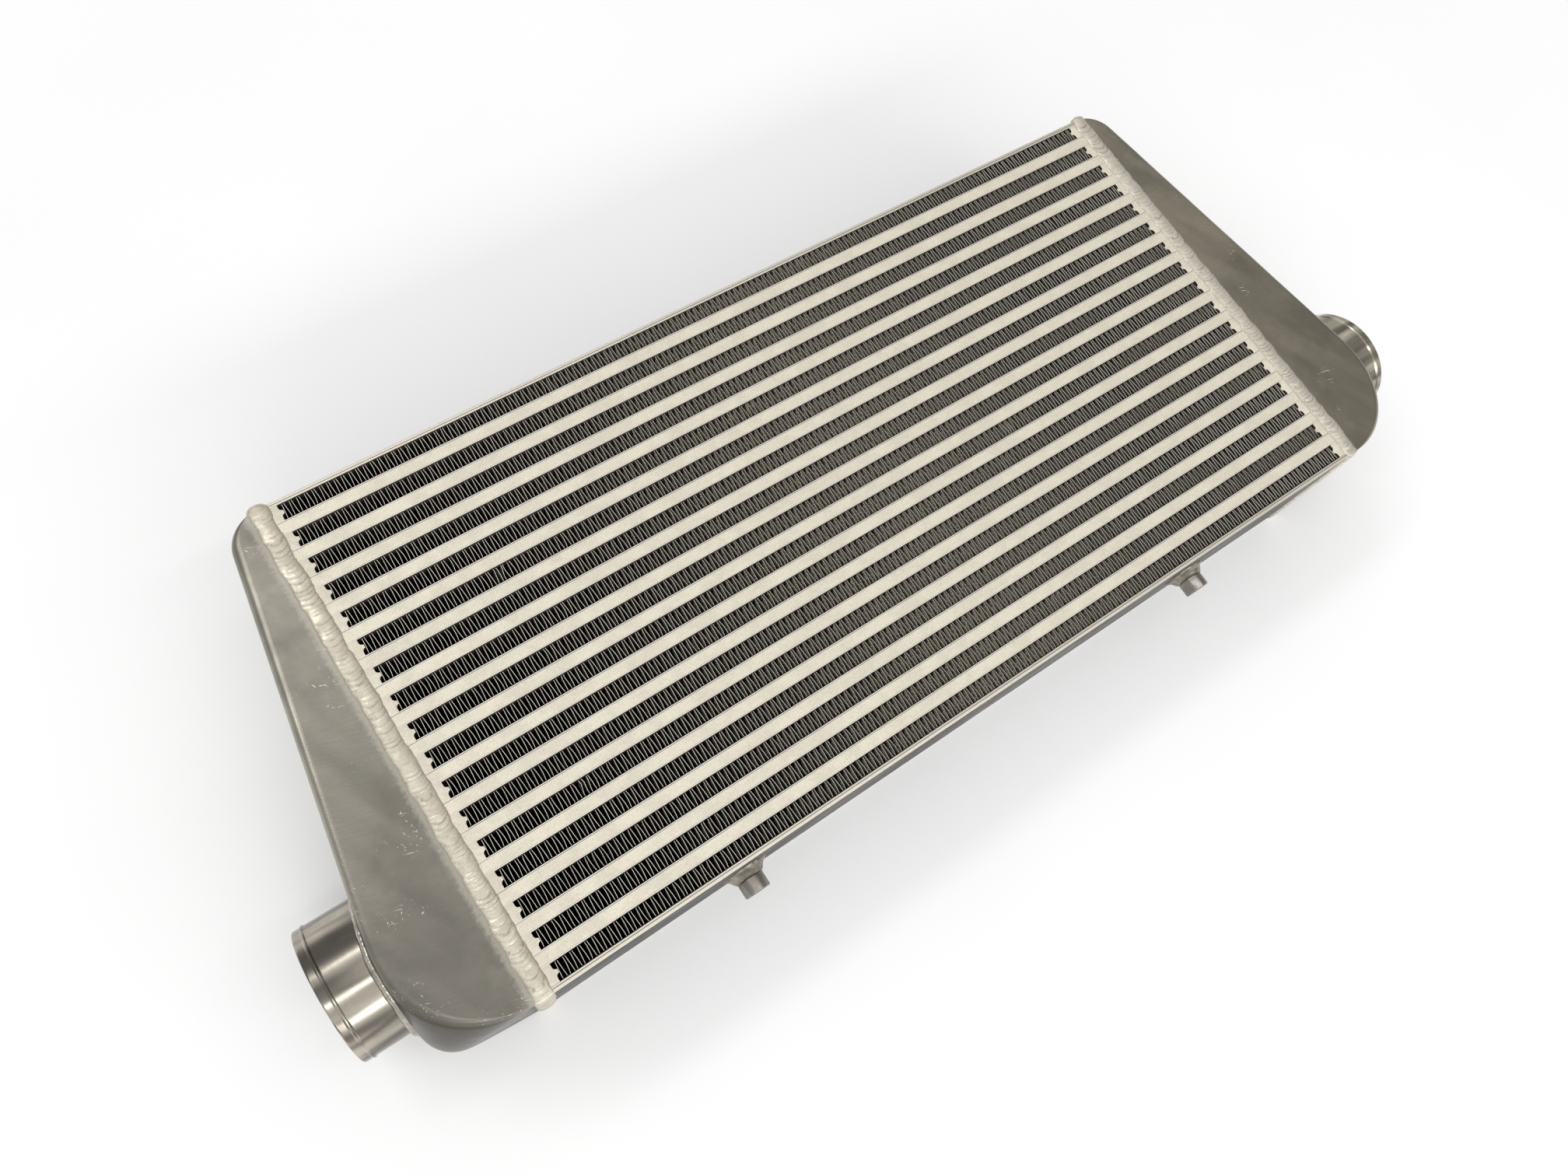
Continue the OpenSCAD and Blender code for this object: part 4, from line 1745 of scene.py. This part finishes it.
@dataclass
class WeldBead:
    """A rippled bead that follows a closed line.

    The bead's section is an ellipse, half_width to the side and half_height outwards, sunk
    below the line by sink. Ripples are crescents a pitch apart. The fields are the tree's inputs.
    """

    aside: Triple = (1.0, 0.0, 0.0)
    half_width: float = 0.005
    half_height: float = 0.002
    sink: float = 0.0
    ripple: float = 0.0027
    ripple_depth: float = 0.2
    crescent: float = 0.9
    hollow: float = 0.0
    wander: float = 0.0005
    lump: Triple = (0.0, 0.0, 0.0)
    lump_rise: float = 0.0
    crater: Triple = (0.0, 0.0, 0.0)
    crater_depth: float = 0.0
    step: float = 0.0005
    around: int = 19
    seed: int = 1

    @staticmethod
    def tree() -> GeometryTree:
        """Builds the tree that lays a bead along the line of its host.

        Returns:
            The finished tree.
        """
        t, errors = GeometryTree("weld_bead", **vars(WeldBead())), BeadErrors()
        line = t.out("GeometryNodeMeshToCurve", {"Mesh": t.size("Geometry")})
        length = t.out("GeometryNodeCurveLength", {"Curve": line})
        mesh, along, around = t.grid((length / t.size("Step")).op("ROUND"), t.size("Around"))
        inputs = {"Curves": line, "Factor": along}
        spot = t.node("GeometryNodeSampleCurve", inputs, mode="FACTOR", use_all_curves=True).outputs
        place, tangent = Num(t, spot["Position"]), Num(t, spot["Tangent"])
        outwards = t.vmath("NORMALIZE", t.vmath("CROSS_PRODUCT", tangent, t.size("Aside")))
        turn = around * (2 * math.pi)
        aside, height = turn.op("COSINE"), turn.op("SINE")
        seeded = t.vmath("ADD", place, t.vector(t.size("Seed"), 0.0, 0.0))

        def swing(scale: float, size: Value, detail: float = 1.0) -> Num:
            """Returns a smooth error along the bead, of about the given size."""
            return (t.noise(seeded, scale, detail) - 0.5) * 3.0 * size

        def near(centre: Num, reach: float) -> Num:
            """Returns 1 at a point of the line and 0 at a distance from it."""
            gap = t.out("ShaderNodeVectorMath", {0: place, 1: centre}, 1, operation="DISTANCE")
            return gap.remap((0.0, reach), FADE, True)

        count = (length / t.size("Ripple")).op("ROUND")
        phase = along * count + (aside * aside * t.size("Crescent") + swing(*errors.phase, 2.0))
        lap = abs(phase.op("FRACT") * 2.0 - 1.0)
        wave = 0.5 - lap.op("POWER", 3.0)
        force = t.size("Ripple Depth") * (swing(*errors.force) + 1.0)
        clear = t.noise(seeded, errors.clear).remap((0.4, 0.58), (0.2, 1.0), True)
        rise = wave.madd(force, 1.0)
        edge = wave.madd(force * 0.22, swing(*errors.width) + 1.0)
        waist = 1.0 - abs((turn * 2.0).op("SINE")) * t.size("Hollow")
        lump = near(t.size("Lump"), LUMP_REACH) * t.size("Lump Rise")
        crater = near(t.size("Crater"), CRATER_REACH) * t.size("Crater Depth")
        up = height.op("MAXIMUM", 0.0)
        lumpy = (swing(*errors.height) + swing(*errors.grain)) * t.size("Half Height")
        high = lumpy.madd(up, height * waist * (t.size("Half Height") * rise))
        high = high - t.size("Sink") + (lump - crater) * up
        wide = aside * waist * (t.size("Half Width") * edge) + swing(errors.wander, t.size("Wander"), 2.0)
        there = t.vmath("ADD", t.scaled(t.size("Aside"), wide), t.scaled(outwards, high))
        # painted shade: the ripple valleys and the toes are stored for the weld's material to darken
        valley_shade = lap.remap((0.68, 1.0), smooth=True) * clear * (force * 6.5).clamp()
        toe_shade = abs(aside).remap((0.72, 0.98), (0.0, 0.4), True)
        inputs = {"Geometry": mesh, "Name": "valley_shade", "Value": valley_shade.op("MAXIMUM", toe_shade)}
        marked = t.out("GeometryNodeStoreNamedAttribute", inputs, data_type="FLOAT", domain="POINT")
        t.finish(t.merged(t.placed(marked, t.vmath("ADD", place, there)), 2 * SAME_POINT), smooth=True)
        return t

    def lay(
        self, tree: GeometryTree, name: str, line: Sequence[Vector], material: Material
    ) -> Object:
        """Lays the bead.

        Args:
            tree: the bead tree.
            name: the new object's name.
            line: the points of the closed line.
            material: its finish.

        Returns:
            The bead, with its faces outwards.
        """
        made = tree.run(name, line, material=material, **vars(self))
        with editing(made.data) as opened:
            bmesh.ops.recalc_face_normals(opened, faces=opened.faces)
        return made


@dataclass
class Welds:
    """All the weld beads of the object."""

    core: CoreSizes
    tank: TankSizes
    corner: float = 0.0012
    corner_steps: int = 6
    pipe_gap: float = 0.0004
    pipe_soft: float = 0.004
    pipe_steps: int = 160
    boss_rim: float = 0.0002
    boss_steps: int = 96

    def joint_line(self, side: Side) -> list[Vector]:
        """The closed line round the core where a tank meets it, with small round corners.

        Args:
            side: the end of the core.

        Returns:
            The points of the line.
        """
        c, corner = self.core, self.corner
        half_y, half_z = c.height / 2 - corner, c.thickness / 2 - corner
        line = []
        for quarter, (sy, sz) in enumerate(((1, 1), (-1, 1), (-1, -1), (1, -1))):
            for k in range(self.corner_steps + 1):
                turn = math.pi / 2 * (quarter + k / self.corner_steps)
                line.append(Vector((
                    side.value * c.end_x, c.centre_y + sy * half_y + corner * math.cos(turn),
                    c.mid_z + sz * half_z + corner * math.sin(turn),
                )))
        return line

    def pipe_line(self, side: Side) -> list[Vector]:
        """The closed line on the tank's wall round its pipe, whose upper half leans.

        Args:
            side: the end of the core.

        Returns:
            The points of the line.
        """
        c, t = self.core, self.tank
        wall_x, pipe_y = c.end_x + t.pipe_reach, c.bottom_y + t.pipe_low
        lean = (t.pipe_reach - t.top_reach) / (c.top_y - t.top_fall - pipe_y)
        radius, soft = t.pipe_d / 2 + self.pipe_gap, self.pipe_soft
        line = []
        for k in range(self.pipe_steps):
            turn = 2 * math.pi * k / self.pipe_steps
            up = radius * math.sin(turn)
            x = wall_x - self.pipe_gap - lean * (up + math.hypot(up, soft) - soft) / 2
            line.append(Vector((side.value * x, pipe_y + up, c.mid_z + radius * math.cos(turn))))
        return line

    def boss_line(self, side: Side) -> list[Vector]:
        """The closed line on the lower end sheet round a boss.

        Args:
            side: the end of the core.

        Returns:
            The points of the line.
        """
        c = self.core
        radius = c.boss_d / 2 + self.boss_rim
        x, y, z = side.value * c.boss_gap / 2, c.bottom_y, c.mid_z
        turns = [2 * math.pi * k / self.boss_steps for k in range(self.boss_steps)]
        return [Vector((x + radius * math.cos(a), y, z + radius * math.sin(a))) for a in turns]

    def build(self, finishes: Finishes) -> None:
        """Lays every bead.

        Args:
            finishes: the materials of the object.
        """
        c, tree = self.core, WeldBead.tree()
        for number, side in enumerate(Side):
            end_x = side.value * c.end_x
            joint = WeldBead(
                half_width=0.0055, half_height=0.0019, sink=0.0005, ripple=0.0033, ripple_depth=0.15,
                crescent=0.85, wander=0.001, lump=(end_x, c.top_y, c.front_z), lump_rise=0.0012,
                crater=(end_x, c.bottom_y + 0.002, c.front_z), crater_depth=0.0008,
                around=25, seed=11 + number,
            )
            ring = WeldBead(
                half_width=0.0032, half_height=0.0032, sink=0.0002, ripple=0.0045, ripple_depth=0.1,
                crescent=0.5, wander=0.0003, step=0.0006, around=17, seed=21 + number,
            )
            fillet = WeldBead(
                aside=(0.0, -1.0, 0.0), half_width=0.0062, half_height=0.0062, ripple=0.0036,
                ripple_depth=0.09, crescent=0.6, hollow=0.38, wander=0.0002, around=25, seed=31 + number,
            )
            for word, bead, line, finish in (
                ("tank", joint, self.joint_line(side), finishes.weld),
                ("pipe", ring, self.pipe_line(side), finishes.pipe_weld),
                ("boss", fillet, self.boss_line(side), finishes.boss_weld),
            ):
                made = bead.lay(tree, f"{word}_bead_{side.word}", line, finish)
                dress(made, finish, "weld", f"{word}_weld_{side.word}")


# ---------------------------------------------------------------- the studio


@dataclass
class Studio:
    """The pale floor, the soft light and the camera."""

    camera_place: Triple = (-0.3028, -0.1675, 0.7388)
    right: Triple = (0.80912, -0.55906, 0.18104)
    up: Triple = (0.4773, 0.80494, 0.3525)
    focal_px: float = 1562.1
    shift_px: Pair = (-27.6, -10.6)
    width_px: float = 2016.0
    sensor: float = 36.0
    floor_z: float = -0.0003
    floor_half: float = 6.0
    bands: tuple[Pair, ...] = (
        (0.0, 0.5), (0.2, 0.5), (0.32, 0.85), (0.42, 0.6), (0.5, 0.85), (0.56, 0.6), (0.66, 0.6), (0.8, 0.8),
        (0.92, 0.45),
    )
    meeting_tone: float = 0.6
    far_tone: float = 0.6
    level: float = 1.13
    paper_glow: float = 0.1
    paper_tone: Pair = (0.9, 0.93)
    lamps: tuple[tuple[str, Triple, Pair, float], ...] = (
        ("strip_back", (-1.4, 1.8, 2.9), (2.4, 0.45), 14.0),
        ("strip_over", (0.0, -1.14, 3.3), (5.0, 0.3), 18.0),
        ("strip_front", (0.0, -2.94, 1.9), (5.0, 0.6), 36.0),
    )

    def floor(self) -> None:
        """Lays the pale floor under the object."""
        mesh = bpy.data.meshes.new("floor")
        half = self.floor_half
        corners = ((-half, -half), (half, -half), (half, half), (-half, half))
        mesh.from_pydata([(x, y, self.floor_z) for x, y in corners], [], [(0, 1, 2, 3)])
        floor = linked("floor", mesh)
        made = bpy.data.materials.new("floor_paper")
        made.use_nodes = True
        g = Paint(made.node_tree)
        shader = made.node_tree.nodes["Principled BSDF"]
        tone = g.noise(g.out("ShaderNodeTexCoord", output="Object"), 3.0).remap((0.3, 0.7), self.paper_tone)
        rays = g.node("ShaderNodeLightPath").outputs
        seen = Num(g, rays["Is Camera Ray"])
        for kind in ("Is Glossy Ray", "Is Transmission Ray"):
            seen = seen.op("MAXIMUM", Num(g, rays[kind]))
        for title, value in {
            "Roughness": 0.9, "Specular IOR Level": 0.1, "Base Color": g.vector(tone, tone, tone),
            "Emission Color": (1.0, 1.0, 1.0, 1.0), "Emission Strength": seen * self.paper_glow,
        }.items():
            g.put(shader.inputs[title], value)
        mesh.materials.append(made)

    def world(self) -> None:
        """Surrounds the scene with soft grey in bands along X, which fade where they would meet."""
        world = bpy.data.worlds.new("studio")
        bpy.context.scene.world = world
        world.use_nodes = True
        g = Paint(world.node_tree)
        x, y, z = g.out("ShaderNodeTexCoord", output="Generated").parts()
        around = z.op("ARCTAN2", y) / math.pi
        bands = g.out("ShaderNodeValToRGB", {0: around})
        ramp = bands.socket.node.color_ramp
        ramp.interpolation = "EASE"
        for n, (place, tone) in enumerate(self.bands):
            stop = ramp.elements[n] if n < 2 else ramp.elements.new(place)
            stop.position = place
            stop.color = (tone, tone, tone, 1.0)
        tone = g.blend(abs(x).remap((0.6, 0.9), smooth=True), bands, (self.meeting_tone,) * 3)
        fade = x.remap((0.1, 0.7), (1.0, self.far_tone), True)
        background = world.node_tree.nodes["Background"]
        g.put(background.inputs["Color"], g.scaled(tone, fade))
        background.inputs["Strength"].default_value = self.level

    def lamp(self, name: str, place: Vector, size: Pair, watts: float) -> None:
        """Hangs a long soft lamp that runs along X and points at the middle of the floor.

        Args:
            name: the lamp's name.
            place: where it hangs.
            size: its length and its width.
            watts: its power before the level is applied.
        """
        light = bpy.data.lights.new(name, "AREA")
        light.shape = "RECTANGLE"
        light.size, light.size_y = size
        light.energy = watts * self.level
        lamp = linked(name, light)
        lamp.location = place
        back = place.normalized()
        along = Vector((1.0, 0.0, 0.0)) - back * back.x
        along.normalize()
        lamp.rotation_mode = "QUATERNION"
        lamp.rotation_quaternion = Matrix((along, back.cross(along), back)).transposed().to_quaternion()

    def camera(self) -> None:
        """Sets the camera at the photograph's viewing angle."""
        data = bpy.data.cameras.new("camera")
        data.sensor_fit, data.sensor_width = "HORIZONTAL", self.sensor
        data.lens = self.focal_px / self.width_px * self.sensor
        data.shift_x, data.shift_y = (shift / self.width_px for shift in self.shift_px)
        data.clip_start, data.clip_end = 0.01, 50.0
        camera = linked("camera", data)
        right, up = Vector(self.right).normalized(), Vector(self.up).normalized()
        facing = Matrix((right, up, right.cross(up))).transposed().to_4x4()
        camera.matrix_world = Matrix.Translation(self.camera_place) @ facing
        bpy.context.scene.camera = camera

    def build(self) -> None:
        """Sets up the floor, the world, the lamps and the camera."""
        bpy.context.scene.view_settings.view_transform = "Standard"
        self.camera()
        self.floor()
        self.world()
        for name, place, size, watts in self.lamps:
            self.lamp(name, Vector(place), size, watts)


def main() -> None:
    """Loads the frame and builds every sub-assembly."""
    logging.basicConfig(level=logging.INFO, format="%(name)s %(message)s")
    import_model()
    core, tank = CoreSizes(), TankSizes()
    finishes = Finishes()
    Studio().build()
    CoreBlock(core).build(finishes)
    CoolingFins(core).build(finishes)
    for side in Side:
        CastTank(core, tank, side).build(finishes)
        HosePipe(core, tank, side).build(finishes)
        MountingBoss(core, side).build(finishes)
    Welds(core, tank).build(finishes)


if __name__ == "__main__":
    main()
